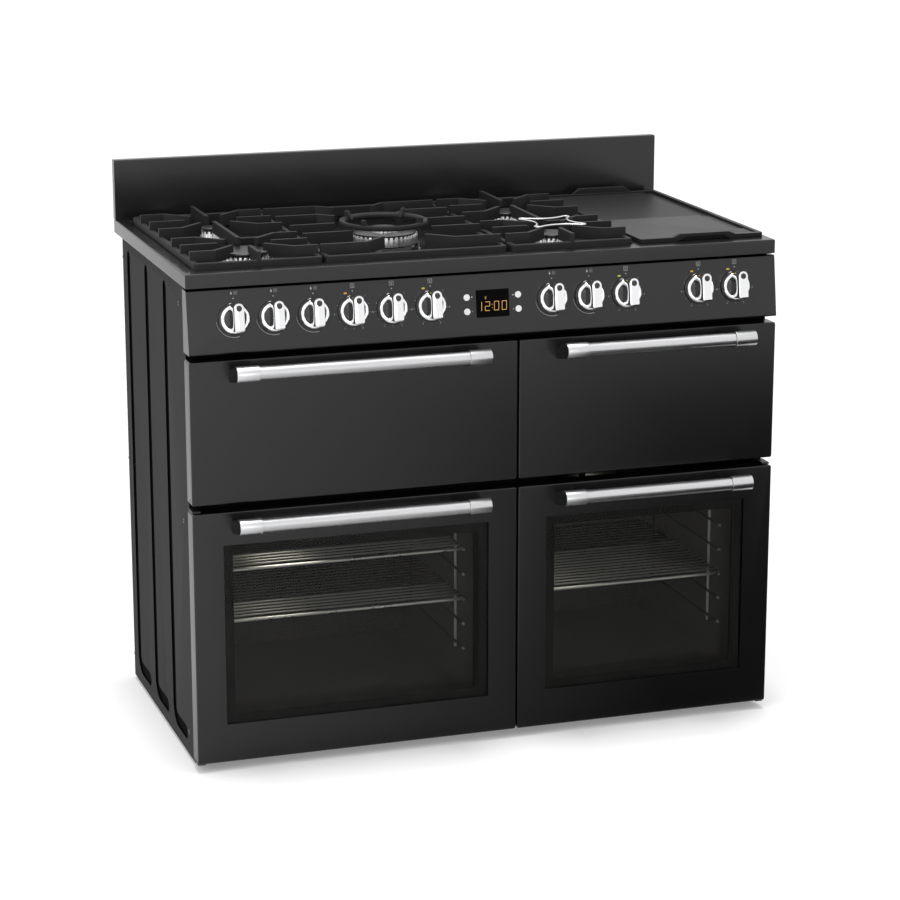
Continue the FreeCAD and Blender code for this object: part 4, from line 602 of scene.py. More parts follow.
def grip_outline(level, inset):
    """The outline of the grip at one height: flat foot, round head, flared towards the ring."""
    flare = GRIP_FLARE * max(0.0, 1 - (level - GRIP_LEVELS[0][0]) / FLARE_TALL) ** 2
    side = []
    for i in range(13):
        y = GRIP_FOOT + 3 + (GRIP_HEAD - GRIP_FOOT - 3) * i / 12
        side.append((GRIP_HALF + flare * (abs(y) / 20) ** 2.5 * (i < 12), y))
    head = rounded((0, GRIP_HEAD), GRIP_HALF, 0, 180, 16)
    corner = rounded((GRIP_HALF - 3, GRIP_FOOT + 3), 3, -90, 0, 4)
    corner = [(x + flare * 0.35, y) for x, y in corner]
    half = corner + side[1:]
    outline = half + head[1:-1] + [(-x, y) for x, y in reversed(side[1:])]
    outline += [(-x, y) for x, y in reversed(corner)]
    shrink = 1 - inset / GRIP_HALF
    drawn = []
    for x, y in outline:
        above = y - GRIP_HEAD
        drawn.append((x * shrink, GRIP_HEAD + above * (shrink if above > 0 else 1 - inset / 40)))
    return drawn


def loft(bm, outlines, material):
    """Joins outlines with the same number of points, and closes both ends."""
    rings = [[bm.verts.new((x, y, z)) for x, y in outline] for z, outline in outlines]
    for low, high in zip(rings, rings[1:]):
        bridge(bm, low, high, material)
    bm.faces.new(list(reversed(rings[0]))).material_index = material
    bm.faces.new(rings[-1]).material_index = material


# %% Build one knob and stand it on the panel
def panel_matrix(joint):
    """Turns millimetres on the sloping panel into metres in the frame: X along, Y up the slope, Z out."""
    out = Vector(joint["axis"]).normalized()
    along = Vector((1, 0, 0))
    up = out.cross(along)
    turn = Matrix((along, up, out)).transposed().to_4x4()
    return Matrix.Translation(joint["pos_m"]) @ turn @ TO_METRES


def make_knob(node):
    """A knob in three materials: plating, black, and the grey insert in the grip's head."""
    bm = bmesh.new()
    skirt = [(0, 0.4), (27.4, 0.4), (28, 1.0), (28, 2.4), (27.2, 3.2), (25.4, 3.4), (0, 3.4)]
    lathe(bm, skirt, 64, material=1)
    ring = [(26, 3.0), (26, 7.4)] + rounded((22.4, 7.4), 3.6, 0, 180, 8)[1:] + [(18.8, 3.0)]
    lathe(bm, ring + [ring[0]], 64, material=0)
    lathe(bm, [(0, 4.8), (12, 4.7), (18.9, 4.2)], 48, material=1)
    loft(bm, [(level, grip_outline(level, inset)) for level, inset in GRIP_LEVELS], 0)
    insert = [(0, GRIP_TOP + 0.2), (4.8, GRIP_TOP + 0.2), (5.4, GRIP_TOP - 0.1)]
    lathe(bm, insert, 32, centre=(0, GRIP_HEAD), material=2)
    bm.transform(panel_matrix(joint_of[node]))
    finishes = [knob_plating, knob_black, insert_grey]
    finish_bm(f"{node}_turned", bm, finishes, node, [node], smooth=32)


knob_nodes = [node for node in nodes if node.endswith("_knob")]
for node in knob_nodes:
    make_knob(node)
print("turned", len(knob_nodes), "knobs")


# %% [markdown]
# ## Handles
# A handle is a brushed tube between two cast ends.  Seen from its end, a casting is a teardrop: round
# at the bar, with two tangents that close in on a foot on the door.

# %% The handle's sizes, as the CAD has them
BAR_RADIUS, END_RADIUS = 12 * MM, 14 * MM
END_LENGTH = 41 * MM
LEG_HIGH, LEG_LOW = 1 * MM, 23 * MM
BAR_STEPS, END_STEPS = 48, 24
print("a bar of", BAR_RADIUS / MM, "mm and ends of", END_RADIUS / MM, "mm radius")


# %% The end castings
def teardrop(axis, door, height):
    """The outline of a handle's end, as (y, z) points round the bar and back to the door."""
    centre = Vector((axis, height))
    upper, lower = Vector((door, height - LEG_HIGH)), Vector((door, height - LEG_LOW))

    def touch(foot, side):
        reach = foot - centre
        return atan2(reach.y, reach.x) + side * acos(END_RADIUS / reach.length)

    start, stop = touch(upper, 1), touch(lower, -1) + tau
    turns = [start + (stop - start) * i / END_STEPS for i in range(END_STEPS + 1)]
    arc = [centre + END_RADIUS * Vector((cos(turn), sin(turn))) for turn in turns]
    return [upper] + arc + [lower]


def make_handle_end(bm, outline, centre, door, start, direction):
    """One end casting: polished round the bar, with a black cap, and its leg and back painted black as painted
    shade.
    """
    edge = 1.2 * MM
    stop = start + direction * (END_LENGTH - 0.5 * MM)
    sections = (
        (start, edge),
        (start + direction * edge * 0.3, edge * 0.3),
        (start + direction * edge, 0),
        (stop - direction * 0.4 * MM, 0),
        (stop, 0.4 * MM),
    )
    rings = []
    for x, shrink in sections:
        ring = []
        for point in outline:
            back = point - centre
            keep = 1 - shrink / back.length if point.x < door - 1e-6 else 1
            place = centre + back * keep
            ring.append(bm.verts.new((x, place.x, place.y)))
        rings.append(ring)
    last = len(outline) - 1
    # the legs and the back face take the black: painted shade where the casting turns to the door
    for a, b in zip(rings, rings[1:]):
        for i, face in enumerate(bridge(bm, a, b, 1)):
            if i in (0, last - 1, last):
                face.material_index = 2
    bm.faces.new(rings[0]).material_index = 2
    bm.faces.new(rings[-1]).material_index = 2


# %% The whole handle
def make_handle(node):
    """A brushed bar and two end castings, with a fine shadow line where they meet."""
    low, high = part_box(node)
    height = high.z - END_RADIUS
    axis = low.y + END_RADIUS
    bm = bmesh.new()
    outline = teardrop(axis, high.y, height)
    centre = Vector((axis, height))
    for start, direction in ((low.x, 1), (high.x, -1)):
        make_handle_end(bm, outline, centre, high.y, start, direction)
    bar = []
    for x in (low.x + END_LENGTH - 1 * MM, high.x - END_LENGTH + 1 * MM):
        turns = [tau * i / BAR_STEPS for i in range(BAR_STEPS)]
        around = [(x, axis + BAR_RADIUS * cos(turn), height + BAR_RADIUS * sin(turn)) for turn in turns]
        bar.append([bm.verts.new(place) for place in around])
    bridge(bm, *bar)
    for ring in bar:
        bm.faces.new(ring)
    finish_bm(f"{node}_bar", bm, [handle_bar, handle_end, knob_black], node, [node], smooth=40)


handle_nodes = [node for node in nodes if node.endswith("_handle")]
for node in handle_nodes:
    make_handle(node)
print("made", len(handle_nodes), "handles")


# %% [markdown]
# ## Burners
# A burner is an alloy crown with flame ports round its rim and a black enamelled cap.  The ports are
# notches, so the lathe lowers two steps out of six along the crown's top edge.

# %% Where the burners are, read from the CAD crowns
def loose_parts(node):
    """The centre, lowest and highest corner of each separate solid in a CAD piece."""
    bm = bmesh.new()
    bm.from_mesh(nodes[node].data)
    bmesh.ops.remove_doubles(bm, verts=bm.verts, dist=MERGE)
    left = set(bm.verts)
    found = []
    while left:
        todo, part = [left.pop()], []
        while todo:
            vert = todo.pop()
            part.append(vert.co.copy())
            for edge in vert.link_edges:
                other = edge.other_vert(vert)
                if other in left:
                    left.remove(other)
                    todo.append(other)
        low = Vector([min(co[i] for co in part) for i in range(3)])
        high = Vector([max(co[i] for co in part) for i in range(3)])
        found.append(((low + high) / 2, low, high))
    bm.free()
    return found


burners = loose_parts("burner_crowns")
print(len(burners), "burners, radii in mm:", [round((high.x - low.x) / 2 / MM) for _, low, high in burners])


# %% Crowns and caps, in millimetres
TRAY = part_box("burner_crowns")[0].z / MM + 10
WOK_RADIUS = 50  # only the wok burner is wider
PORT_PITCH = 9.5


def make_crowns():
    """All five crowns as one piece; the wok burner's has two tiers on a dark base.

    Steps come in twelves, so that notches with a period of 6 or of 12 close the ring.
    """
    bm = bmesh.new()
    for middle, low, high in burners:
        radius = (high.x - low.x) / 2 / MM
        steps = 12 * int(tau * radius / PORT_PITCH / 2)
        centre = (middle.x / MM, middle.y / MM)
        cup = [(0, -10), (radius - 8, -10), (radius - 6, 0), (radius - 0.6, 0), (radius, 0.6), (radius, 2.4)]
        if radius > WOK_RADIUS:
            cup += [(radius - 3.4, 7.4), (radius - 4, 8.6), (radius - 9, 8.6), (radius - 9, 6), (0, 6)]
            lathe(bm, cup, 96, centre, material=1, foot=TRAY)
            head = [(radius - 8, 8.4), (radius - 2, 8.7), (radius - 1, 9.8), (radius - 1, 25.6)]
            head += [(radius - 1.6, 27), (radius - 7, 27), (radius - 7.4, 21), (26.6, 21), (26, 22)]
            head += [(26, 33), (25.4, 34), (20.4, 34), (20, 29), (0, 29)]
            cuts = {3: (-3.4, 6), 4: (-4.6, 6), 5: (-4.6, 6), 9: (-2.8, 12), 10: (-3.6, 12), 11: (-3.6, 12)}
        else:
            head = cup + [(radius - 0.8, 3.6), (radius - 3.4, 18.4), (radius - 3.8, 20), (radius - 9, 20)]
            head += [(radius - 9.5, 14), (0, 14)]
            cuts = {7: (-3.4, 6), 8: (-4.6, 6), 9: (-4.6, 6)}

        def notch(place, step):
            depth, period = cuts.get(place, (0, 6))
            return depth if step % period < 2 else 0

        lathe(bm, head, steps, centre, foot=TRAY, lift=notch)
    bm.transform(TO_METRES)
    finish_bm("burner_crowns_turned", bm, [burner_alloy, knob_black], "burner_crowns", ["burner_crowns"])


def cap_profile(radius, tall, hole):
    """Half the section of a cap: domed over a plain burner, flat and ring-shaped on the wok burner."""
    bend = min(2.6, tall * 0.45)
    rim = rounded((radius - bend, tall - bend - 0.2), bend, -60, 80, 8)
    if hole:
        return [(hole, 0), (radius - 2, 0)] + rim + [(hole + 0.4, tall), (hole, tall - 0.4), (hole, 0)]
    dome = [(radius * 0.7, tall - 0.4), (radius * 0.35, tall - 0.1), (0, tall)]
    return [(0, 0), (radius - 2, 0)] + rim + dome


def make_caps():
    """All six caps as one piece."""
    bm = bmesh.new()
    for middle, low, high in loose_parts("burner_caps"):
        radius, tall = (high.x - low.x) / 2 / MM, (high.z - low.z) / MM
        profile = cap_profile(radius, tall, 27.5 if radius > WOK_RADIUS else 0)
        lathe(bm, profile, 96, (middle.x / MM, middle.y / MM), foot=low.z / MM)
    bm.transform(TO_METRES)
    finish_bm("burner_caps_turned", bm, [cap_enamel], "burner_caps", ["burner_caps"])


make_crowns()
make_caps()
print("burners made")


# %% Spark plugs and flame sensors beside the burners
POST = [(0, 0), (3, 0), (3, 7), (2.2, 8.5), (0, 8.5)]
COLLAR = [(0, 0), (2.6, 0), (2.6, 3), (0, 3)]
PIN = [(0, 3), (0.8, 3), (0.8, 14.2), (0, 14.6)]


def make_igniters():
    """A white ceramic post with a steel pin, and a bare pin in a collar, beside each crown."""
    bm = bmesh.new()
    for middle, low, high in burners:
        reach = (high.x - low.x) / 2 / MM + 5
        for turn, foot, material in ((radians(215), POST, 0), (radians(325), COLLAR, 1)):
            centre = (middle.x / MM + reach * cos(turn), middle.y / MM + reach * sin(turn))
            lathe(bm, foot, 16, centre, material, foot=TRAY)
            lathe(bm, PIN, 12, centre, material=1, foot=TRAY)
    bm.transform(TO_METRES)
    finish_bm("spark_plugs", bm, [button_white, wire_plating], "burner_crowns")


make_igniters()
print("igniters made")


# %% The wok ring
def make_wok_ring():
    """The ring for round-bottomed pans: a turned band and four cast lugs."""
    low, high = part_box("wok_ring")
    middle = (low + high) / 2
    outer = (high.x - low.x) / 2 / MM - 4
    inner = outer - 11
    bm = bmesh.new()
    under = [(inner, 2.2), (inner + 1.2, 0.4), (inner + 3, 0), (outer - 3, 0), (outer - 1, 0.8), (outer, 2.6)]
    over = [(outer, 7), (outer - 1, 9), (outer - 3.4, 10), (inner + 4, 9.2), (inner + 1, 7.4), (inner, 5.6)]
    lathe(bm, under + over + [under[0]], 96)
    lug = [(inner - 6, 3), (inner + 3, 2), (outer - 1, 8), (outer - 1, 19), (outer - 8, 19)]
    for turn in range(4):
        heading = Matrix.Rotation(radians(45 + 90 * turn), 4, "Z")
        sides = [[bm.verts.new(heading @ Vector((x, side, z))) for x, z in lug] for side in (-3.5, 3.5)]
        bm.faces.new(list(reversed(sides[0])))
        bm.faces.new(sides[1])
        bridge(bm, *sides)
    bm.transform(Matrix.Translation((middle.x, middle.y, low.z)) @ TO_METRES)
    piece = finish_bm("wok_ring_cast", bm, [cast_iron], "wok_ring", ["wok_ring"])
    round_edges(piece, 0.8 * MM, angle=50, harden=False)


make_wok_ring()
print("wok ring made")

# %% [markdown]
# ## Wire
# The trivet and the oven shelves are bent and welded wire.  A curve with a round bevel draws any bent
# wire; the straight rods of a shelf repeat, so a small Geometry Nodes tree lays them out.  Only the
# first few rods of a shelf are bright; the rest are painted dark, a painted shade deep in the oven.

# %% Draw a bent wire
def draw_wire(name, points, radius, material, node):
    """A wire bent into a closed loop, which stands for its CAD piece."""
    curve = bpy.data.curves.new(name, "CURVE")
    curve.dimensions = "3D"
    curve.bevel_depth = radius
    curve.bevel_resolution = 3
    spline = curve.splines.new("POLY")
    spline.points.add(len(points) - 1)
    for point, place in zip(spline.points, points):
        point.co = (*place, 1)
    spline.use_cyclic_u = True
    holder = bpy.data.objects.new(name, curve)
    mesh = bpy.data.meshes.new_from_object(holder)
    bpy.data.objects.remove(holder)
    bm = bmesh.new()
    bm.from_mesh(mesh)
    return finish_bm(name, bm, [material], node, [node], smooth=50)


# %% The trivet
SIDE_STEPS, TIP_STEPS = 16, 10


def make_trivet():
    """Four drawn-in sides and four rounded tips, bent from one wire."""
    low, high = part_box("pot_trivet")
    middle = (low + high) / 2
    radius = (high.z - low.z) / 2
    tip, side, reach = 6 * MM, 60 * MM, 60 * MM
    corner = reach * sqrt(0.5)
    side_centre = corner + sqrt((side + tip) ** 2 - corner ** 2)
    to_tip = atan2(corner, corner - side_centre)
    points = []
    for quarter in range(4):
        heading = Matrix.Rotation(radians(90 * quarter), 3, "Z")
        for i in range(SIDE_STEPS):
            turn = tau - to_tip + (2 * to_tip - tau) * i / SIDE_STEPS
            points.append(heading @ Vector((side_centre + side * cos(turn), side * sin(turn), 0)))
        for i in range(TIP_STEPS):
            turn = to_tip - pi + (pi / 2 - 2 * to_tip + tau) * i / TIP_STEPS
            points.append(heading @ Vector((corner + tip * cos(turn), corner + tip * sin(turn), 0)))
    points = [middle + point for point in points]
    draw_wire("pot_trivet_wire", points, radius, wire_plating, "pot_trivet")


make_trivet()
print("trivet made")


# %% A Geometry Nodes row of rods
def make_rod_row():
    """A tree that lays Count rods of a Length and Radius along X, each a Step further along Y."""
    tree = bpy.data.node_groups.new("row of rods", "GeometryNodeTree")
    sockets = tree.interface
    sockets.new_socket("Geometry", in_out="OUTPUT", socket_type="NodeSocketGeometry")
    inputs = {
        "Count": "Int", "Start": "Vector", "Step": "Float", "Length": "Float", "Radius": "Float",
        "Material": "Material",
    }
    for label, kind in inputs.items():
        sockets.new_socket(label, in_out="INPUT", socket_type=f"NodeSocket{kind}")
    given = tree.nodes.new("NodeGroupInput").outputs
    leave = tree.nodes.new("NodeGroupOutput")
    step = add_node(tree, "ShaderNodeCombineXYZ", None, {"Y": given["Step"]})
    line = add_node(
        tree, "GeometryNodeMeshLine", None,
        {"Count": given["Count"], "Start Location": given["Start"], "Offset": step.outputs[0]},
    )
    rod = add_node(
        tree, "GeometryNodeMeshCylinder", {"Vertices": 10},
        {"Radius": given["Radius"], "Depth": given["Length"]},
    )
    spread = add_node(
        tree, "GeometryNodeInstanceOnPoints", {"Rotation": (0, pi / 2, 0)},
        {"Points": line.outputs[0], "Instance": rod.outputs["Mesh"]},
    )
    real = add_node(tree, "GeometryNodeRealizeInstances", None, {"Geometry": spread.outputs[0]})
    parts = {"Geometry": real.outputs[0], "Material": given["Material"]}
    paint = add_node(tree, "GeometryNodeSetMaterial", None, parts)
    tree.links.new(paint.outputs[0], leave.inputs[0])
    return tree


rod_row = make_rod_row()


def bake_tree(tree, values):
    """Runs a Geometry Nodes tree on an empty mesh and returns the plain mesh it makes."""
    holder = bpy.data.objects.new("holder", bpy.data.meshes.new("holder"))
    bpy.context.scene.collection.objects.link(holder)
    modifier = holder.modifiers.new("tree", "NODES")
    modifier.node_group = tree
    for item in tree.interface.items_tree:
        if item.in_out == "INPUT" and item.name in values:
            modifier[item.identifier] = values[item.name]
    depsgraph = bpy.context.evaluated_depsgraph_get()
    mesh = bpy.data.meshes.new_from_object(holder.evaluated_get(depsgraph))
    bpy.data.objects.remove(holder)
    return mesh


# %% Shelves
SHELF_RODS = 21
HEAVY_WIRE, LIGHT_WIRE = 3 * MM, 1.8 * MM
SHELF_BEND = 9 * MM


def make_shelf(node, bright):
    """A shelf: one closed heavy wire, and rods from side to side, painted dark behind the first few as painted
    shade.
    """
    low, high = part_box(node)
    level = low.z + HEAVY_WIRE
    inset = HEAVY_WIRE + SHELF_BEND
    left, right, front, rear = low.x + inset, high.x - inset, low.y + inset, high.y - inset
    edge = []
    for i, corner in enumerate(((right, rear), (left, rear), (left, front), (right, front))):
        edge += [(x, y, level) for x, y in rounded(corner, SHELF_BEND, 90 * i, 90 * i + 90, 5)]
    edge_wire = draw_wire(f"{node}_edge", edge, HEAVY_WIRE, wire_plating, node)
    # the heavy wire behind its front run takes the painted shade
    shade_from = low.y + 2.4 * HEAVY_WIRE
    colour_part(
        edge_wire, painted_shade_wire, (0, shade_from, 0), (0, 1, 0), lambda face, middle: middle.y > shade_from
    )
    step = (high.y - low.y - 2 * HEAVY_WIRE) / (SHELF_RODS + 1)
    for name, first, count, finish in (
        ("front_rods", 1, bright, rod_plating),
        ("rear_rods", bright + 1, SHELF_RODS - bright, painted_shade_wire),
    ):
        mesh = bake_tree(rod_row, {
            "Count": count,
            "Start": ((low.x + high.x) / 2, low.y + HEAVY_WIRE + step * first, level + HEAVY_WIRE),
            "Step": step,
            "Length": high.x - low.x - 2 * HEAVY_WIRE,
            "Radius": LIGHT_WIRE,
            "Material": finish,
        })
        mesh.materials.clear()
        finish_piece(f"{node}_{name}", mesh, [finish], node, smooth=50)


for node, bright in (("main_oven_shelf_upper", 4), ("main_oven_shelf_lower", 5), ("fan_oven_shelf", 12)):
    make_shelf(node, bright)
print("shelves made")


# %% Runners
POST_SPAN = 60 * MM
UPRIGHT = 12 * MM


def make_runners():
    """The runners' front posts are plated bright; the bars behind them are painted dark, a painted shade deep in
    the oven.
    """
    piece = softened("shelf_runners", runner_zinc, 0.1 * MM, segments=1)
    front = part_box("shelf_runners")[0].y + 5 * MM

    def deep(face, middle):
        heights = [vert.co.z for vert in face.verts]
        post = max(heights) - min(heights) > UPRIGHT and middle.y < front + POST_SPAN
        return middle.y > front and not post

    # everything behind the front posts takes the painted shade
    colour_part(piece, painted_shade_wire, (0, front, 0), (0, 1, 0), deep)


make_runners()
print("runners softened")


# %% [markdown]
# ## Marks on the panel
# The print on the panel is a set of flat shapes a tenth of a millimetre off its face: a small sign and
# an index dot over each knob, an arc that swells with the flame round the gas knobs, and ticks with
# plain numbers round the others.  The clock shows plain seven-bar figures in its black window.

# %% Flat shapes on the panel
PRINT_LIFT = 0.12


def flat_polygon(bm, points, lift=PRINT_LIFT, material=0):
    """A flat shape from its corners."""
    bm.faces.new([bm.verts.new((x, y, lift)) for x, y in points]).material_index = material


def flat_dot(bm, x, y, radius, lift=PRINT_LIFT, material=0):
    """A filled dot."""
    flat_polygon(bm, rounded((x, y), radius, 0, 337.5, 15), lift, material)


def flat_bar(bm, start, stop, width, lift=PRINT_LIFT, material=0):
    """A straight stroke."""
    a, b = Vector(start), Vector(stop)
    side = (b - a).normalized().orthogonal() * width / 2
    flat_polygon(bm, [a + side, a - side, b - side, b + side], lift, material)


def flat_arc(bm, radius, start, stop, thin, thick):
    """A curved stroke round the knob that swells from thin to thick."""
    steps = 24
    edges = []
    for i in range(steps + 1):
        turn = radians(start + (stop - start) * i / steps)
        half = (thin + (thick - thin) * i / steps) / 2
        edges.append([(reach * cos(turn), reach * sin(turn)) for reach in (radius - half, radius + half)])
    for (a, b), (c, d) in zip(edges, edges[1:]):
        flat_polygon(bm, [a, b, d, c])


def flat_frame(bm, x, y, half, width):
    """A square drawn in outline."""
    corners = [(x - half, y - half), (x + half, y - half), (x + half, y + half), (x - half, y + half)]
    for i in range(4):
        flat_bar(bm, corners[i], corners[(i + 1) % 4], width)


# %% Symbols over the knobs
panel_origin = Vector(joint_of["wok_burner_knob"]["pos_m"])
panel_axis = joint_of["wok_burner_knob"]["axis"]


def panel_under(middle):
    """The panel's own axes in millimetres, at the point of its face straight under a place."""
    out = Vector(panel_axis).normalized()
    reach = (middle - panel_origin).dot(out)
    return panel_matrix({"axis": panel_axis, "pos_m": middle - out * reach})


SEGMENTS = {
    "0": "abcdef", "1": "bc", "2": "abged", "3": "abgcd", "4": "fgbc",
    "5": "afgcd", "6": "afgedc", "7": "abc", "8": "abcdefg", "9": "abcdfg",
}


def flat_figure(bm, figure, x, y, tall, wide, thick, lift=PRINT_LIFT):
    """A seven-bar figure, leaning a little, with its foot at x, y."""
    half = tall / 2
    bars = {
        "a": ((0, tall), (wide, tall)), "b": ((wide, tall), (wide, half)), "c": ((wide, half), (wide, 0)),
        "d": ((0, 0), (wide, 0)), "e": ((0, half), (0, 0)), "f": ((0, tall), (0, half)),
        "g": ((0, half), (wide, half)),
    }
    for name in SEGMENTS[figure]:
        (x0, y0), (x1, y1) = bars[name]
        flat_bar(bm, (x + x0 + 0.04 * y0, y + y0), (x + x1 + 0.04 * y1, y + y1), thick, lift)


def gas_sign(bm):
    """A small flame, a faint square, and an arc whose width grows as the flame does."""
    flat_polygon(bm, [(-5.2, 43.4), (-3.4, 41.6), (-1.6, 43.4), (-2.4, 45.4), (-3.4, 47.6), (-4.4, 45.4)])
    flat_polygon(bm, [(0.8, 41.6), (7.6, 41.6), (7.6, 47.8), (0.8, 47.8)], material=1)
    flat_arc(bm, 31.8, 186, 285, 0.3, 0.9)


def oven_sign(bm):
    """An outlined square with a mark in it, and ticks with plain numbers round the knob."""
    flat_frame(bm, 0, 44.4, 3.6, 0.6)
    flat_bar(bm, (-2.2, 45.6), (2.2, 45.6), 0.6)
    flat_dot(bm, 0, 43.2, 1.0)
    for i in range(10):
        turn = radians(50 - 28 * i)
        inner, outer = (29.6 * cos(turn), 29.6 * sin(turn)), (31.4 * cos(turn), 31.4 * sin(turn))
        flat_bar(bm, inner, outer, 0.5)
        if i % 2 == 0 and i < 9:
            flat_figure(bm, str(i // 2 + 1), 34.4 * cos(turn) - 0.8, 34.4 * sin(turn) - 1.3, 2.6, 1.5, 0.4)


def make_symbols():
    """One sign and one index dot for each knob."""
    bm = bmesh.new()
    for node in knob_nodes:
        part = bmesh.new()
        flat_dot(part, 0, 35.2, 1.1)
        sign = gas_sign if "burner" in node else oven_sign
        sign(part)
        add_part(bm, part, panel_matrix(joint_of[node]))
    mesh = bpy.data.meshes.new("panel_symbols")
    bm.to_mesh(mesh)
    bm.free()
    finish_piece("panel_symbols", mesh, [panel_ink, faint_ink], "control_panel")


make_symbols()
print("symbols printed")


# %% Pilot lamps
LAMP_OF = {
    "grill_knob": 0,
    "main_oven_heat_knob": 1,
    "top_oven_knob": 2,
    "fan_oven_function_knob": 0,
    "fan_oven_heat_knob": 1,
}
LAMP_X, LAMP_Y = -13, 31.8


def make_pilot_lamps():
    """A small lit lens up and to the left of each electric knob that has one."""
    outline = []
    for x, start in ((LAMP_X + 1.6, -90), (LAMP_X - 1.6, 90)):
        outline += rounded((x, LAMP_Y), 1.4, start, start + 180, 8)
    face = [(LAMP_X + (x - LAMP_X) * 0.85, LAMP_Y + (y - LAMP_Y) * 0.7) for x, y in outline]
    bm = bmesh.new()
    for node, colour in LAMP_OF.items():
        part = bmesh.new()
        loft(part, [(-0.2, outline), (0.7, outline), (1.0, face)], colour)
        add_part(bm, part, panel_matrix(joint_of[node]))
    finish_bm("pilot_lamps", bm, [amber_lamp, yellow_lamp, green_lamp], "control_panel")


make_pilot_lamps()
print("pilot lamps fitted")


# %% The clock's figures, and the signs by its buttons
clock_buttons = [node for node in nodes if node.startswith("clock_button")]
button_middles = [sum(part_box(node), Vector()) / 2 for node in clock_buttons]
clock_place = panel_under(sum(button_middles, Vector()) / len(button_middles))


def make_clock_face():
    """Plain seven-bar figures at noon, a colon and two small signs, in the black window."""
    bm = bmesh.new()
    lift, foot = 0.75, -12.5
    for figure, start in (("1", -29.5), ("2", -14.5), ("0", 2.5), ("0", 17.0)):
        flat_figure(bm, figure, start, foot, 15.5, 8.2, 0.9, lift)
    for y in (foot + 4.5, foot + 10.5):
        flat_dot(bm, -1.4, y, 0.7, lift)
    flat_dot(bm, -13, foot + 22, 1.5, lift, 1)
    flat_bar(bm, (-15, foot + 25), (-11, foot + 25), 0.6, lift, 1)
    bm.transform(clock_place)
    finish_bm("clock_face", bm, [clock_figures, clock_icons], "clock_display")


def make_button_signs():
    """A small grey sign beside each clock button: minus, plus, a pot and a block, all plain shapes."""
    bm = bmesh.new()
    for x, y, upright in ((-38.5, -12.6, False), (38.5, -12.6, True)):
        flat_bar(bm, (x - 1.4, y), (x + 1.4, y), 0.6)
        if upright:
            flat_bar(bm, (x, y - 1.4), (x, y + 1.4), 0.6)
    flat_polygon(bm, [(-40, 11.6), (-37, 11.6), (-37.8, 14.2), (-39.2, 14.2)])
    flat_polygon(bm, [(37, 11.4), (40, 11.4), (40, 13.4), (37, 13.4)])
    bm.transform(clock_place)
    finish_bm("button_signs", bm, [panel_ink], "control_panel")


make_clock_face()
make_button_signs()
print("clock set")


# %% Clock buttons
def make_clock_button(node, middle):
    """A white button with a softly dished face."""
    bm = bmesh.new()
    lathe(bm, [(0, -8), (5.8, -8), (5.8, 0.9), (5.5, 1.3), (5.0, 1.4), (3, 1.3), (0, 1.2)], 40)
    bm.transform(panel_under(middle))
    finish_bm(f"{node}_cap", bm, [button_white], node, [node])


for node, middle in zip(clock_buttons, button_middles):
    make_clock_button(node, middle)
print("clock buttons made")


# %% [markdown]
# ## Glass borders and screws
# The back of each outer pane is printed with a black border that hides the edge of the oven mouth.
# Small screws hold the side panels and the doors' edges.

# %% The printed border behind each window
BORDER_WIDTH, BORDER_GAP = 25.5 * MM, 0.1 * MM


def make_border(node):
    """A black print just behind the outer pane, open where the glass is clear."""
    panes = sorted(loose_parts(node), key=lambda part: part[0].y)
    _, low, high = panes[0]
    y = high.y + BORDER_GAP
    bm = bmesh.new()
    rims = []
    for inset in (0, BORDER_WIDTH):
        left, right, foot, head = low.x + inset, high.x - inset, low.z + inset, high.z - inset
        corners = ((left, foot), (right, foot), (right, head), (left, head))
        rims.append([bm.verts.new((x, y, z)) for x, z in corners])
    bridge(bm, *rims)
    finish_bm(f"{node}_border", bm, [glass_print], node)


for node in ("main_oven_door_glass", "fan_oven_door_glass"):
    make_border(node)
print("borders printed")


# %% Screws
SCREW = [(0, -0.5), (5, -0.5), (5, 0.4), (4.4, 1.3), (3, 1.8), (1.6, 1.9), (1.2, 1.0), (0, 1.0)]
SIDE_SCREW_HEIGHTS = (52 * MM, 447 * MM, 838 * MM)
SIDE_SCREW_FRONT, SIDE_SCREW_REAR = 40 * MM, 7 * MM
DOOR_SCREW_SIZE, DOOR_SCREW_SUNK = 0.45, 0.85 * MM
DOOR_SCREW_END, DOOR_SCREW_BACK = 14 * MM, 25 * MM


def add_screw(bm, node, out, y, z, size=1, sunk=0):
    """A pan-head screw on the outer side of a piece, which is its left (-1) or its right (1)."""
    low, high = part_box(node)
    face = low.x if out < 0 else high.x
    turn = Matrix.Rotation(radians(90 * out), 4, "Y")
    part = bmesh.new()
    lathe(part, [(r * size, height * size) for r, height in SCREW], 20)
    add_part(bm, part, Matrix.Translation((face - out * sunk, y, z)) @ turn @ TO_METRES)


def make_side_screws():
    """Six screws on each side panel, in the holes that the CAD gives."""
    bm = bmesh.new()
    for node, out in (("side_panel_left", -1), ("side_panel_right", 1)):
        low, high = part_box(node)
        for y in (low.y + SIDE_SCREW_FRONT, high.y - SIDE_SCREW_REAR):
            for z in SIDE_SCREW_HEIGHTS:
                add_screw(bm, node, out, y, z)
    finish_bm("side_screws", bm, [knob_black], "side_panel_left")


def make_door_screws(node, out):
    """Small bright screws in the outer edge of a door, where its corner brackets are held."""
    low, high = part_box(node)
    bm = bmesh.new()
    for z in (low.z + DOOR_SCREW_END, high.z - DOOR_SCREW_END):
        add_screw(bm, node, out, low.y + DOOR_SCREW_BACK, z, DOOR_SCREW_SIZE, DOOR_SCREW_SUNK)
    finish_bm(f"{node}_screws", bm, [wire_plating], node)


make_side_screws()
for door, out in (("grill", -1), ("main_oven", -1), ("top_oven", 1), ("fan_oven", 1)):
    make_door_screws(f"{door}_door_panel", out)
print("screws fitted")
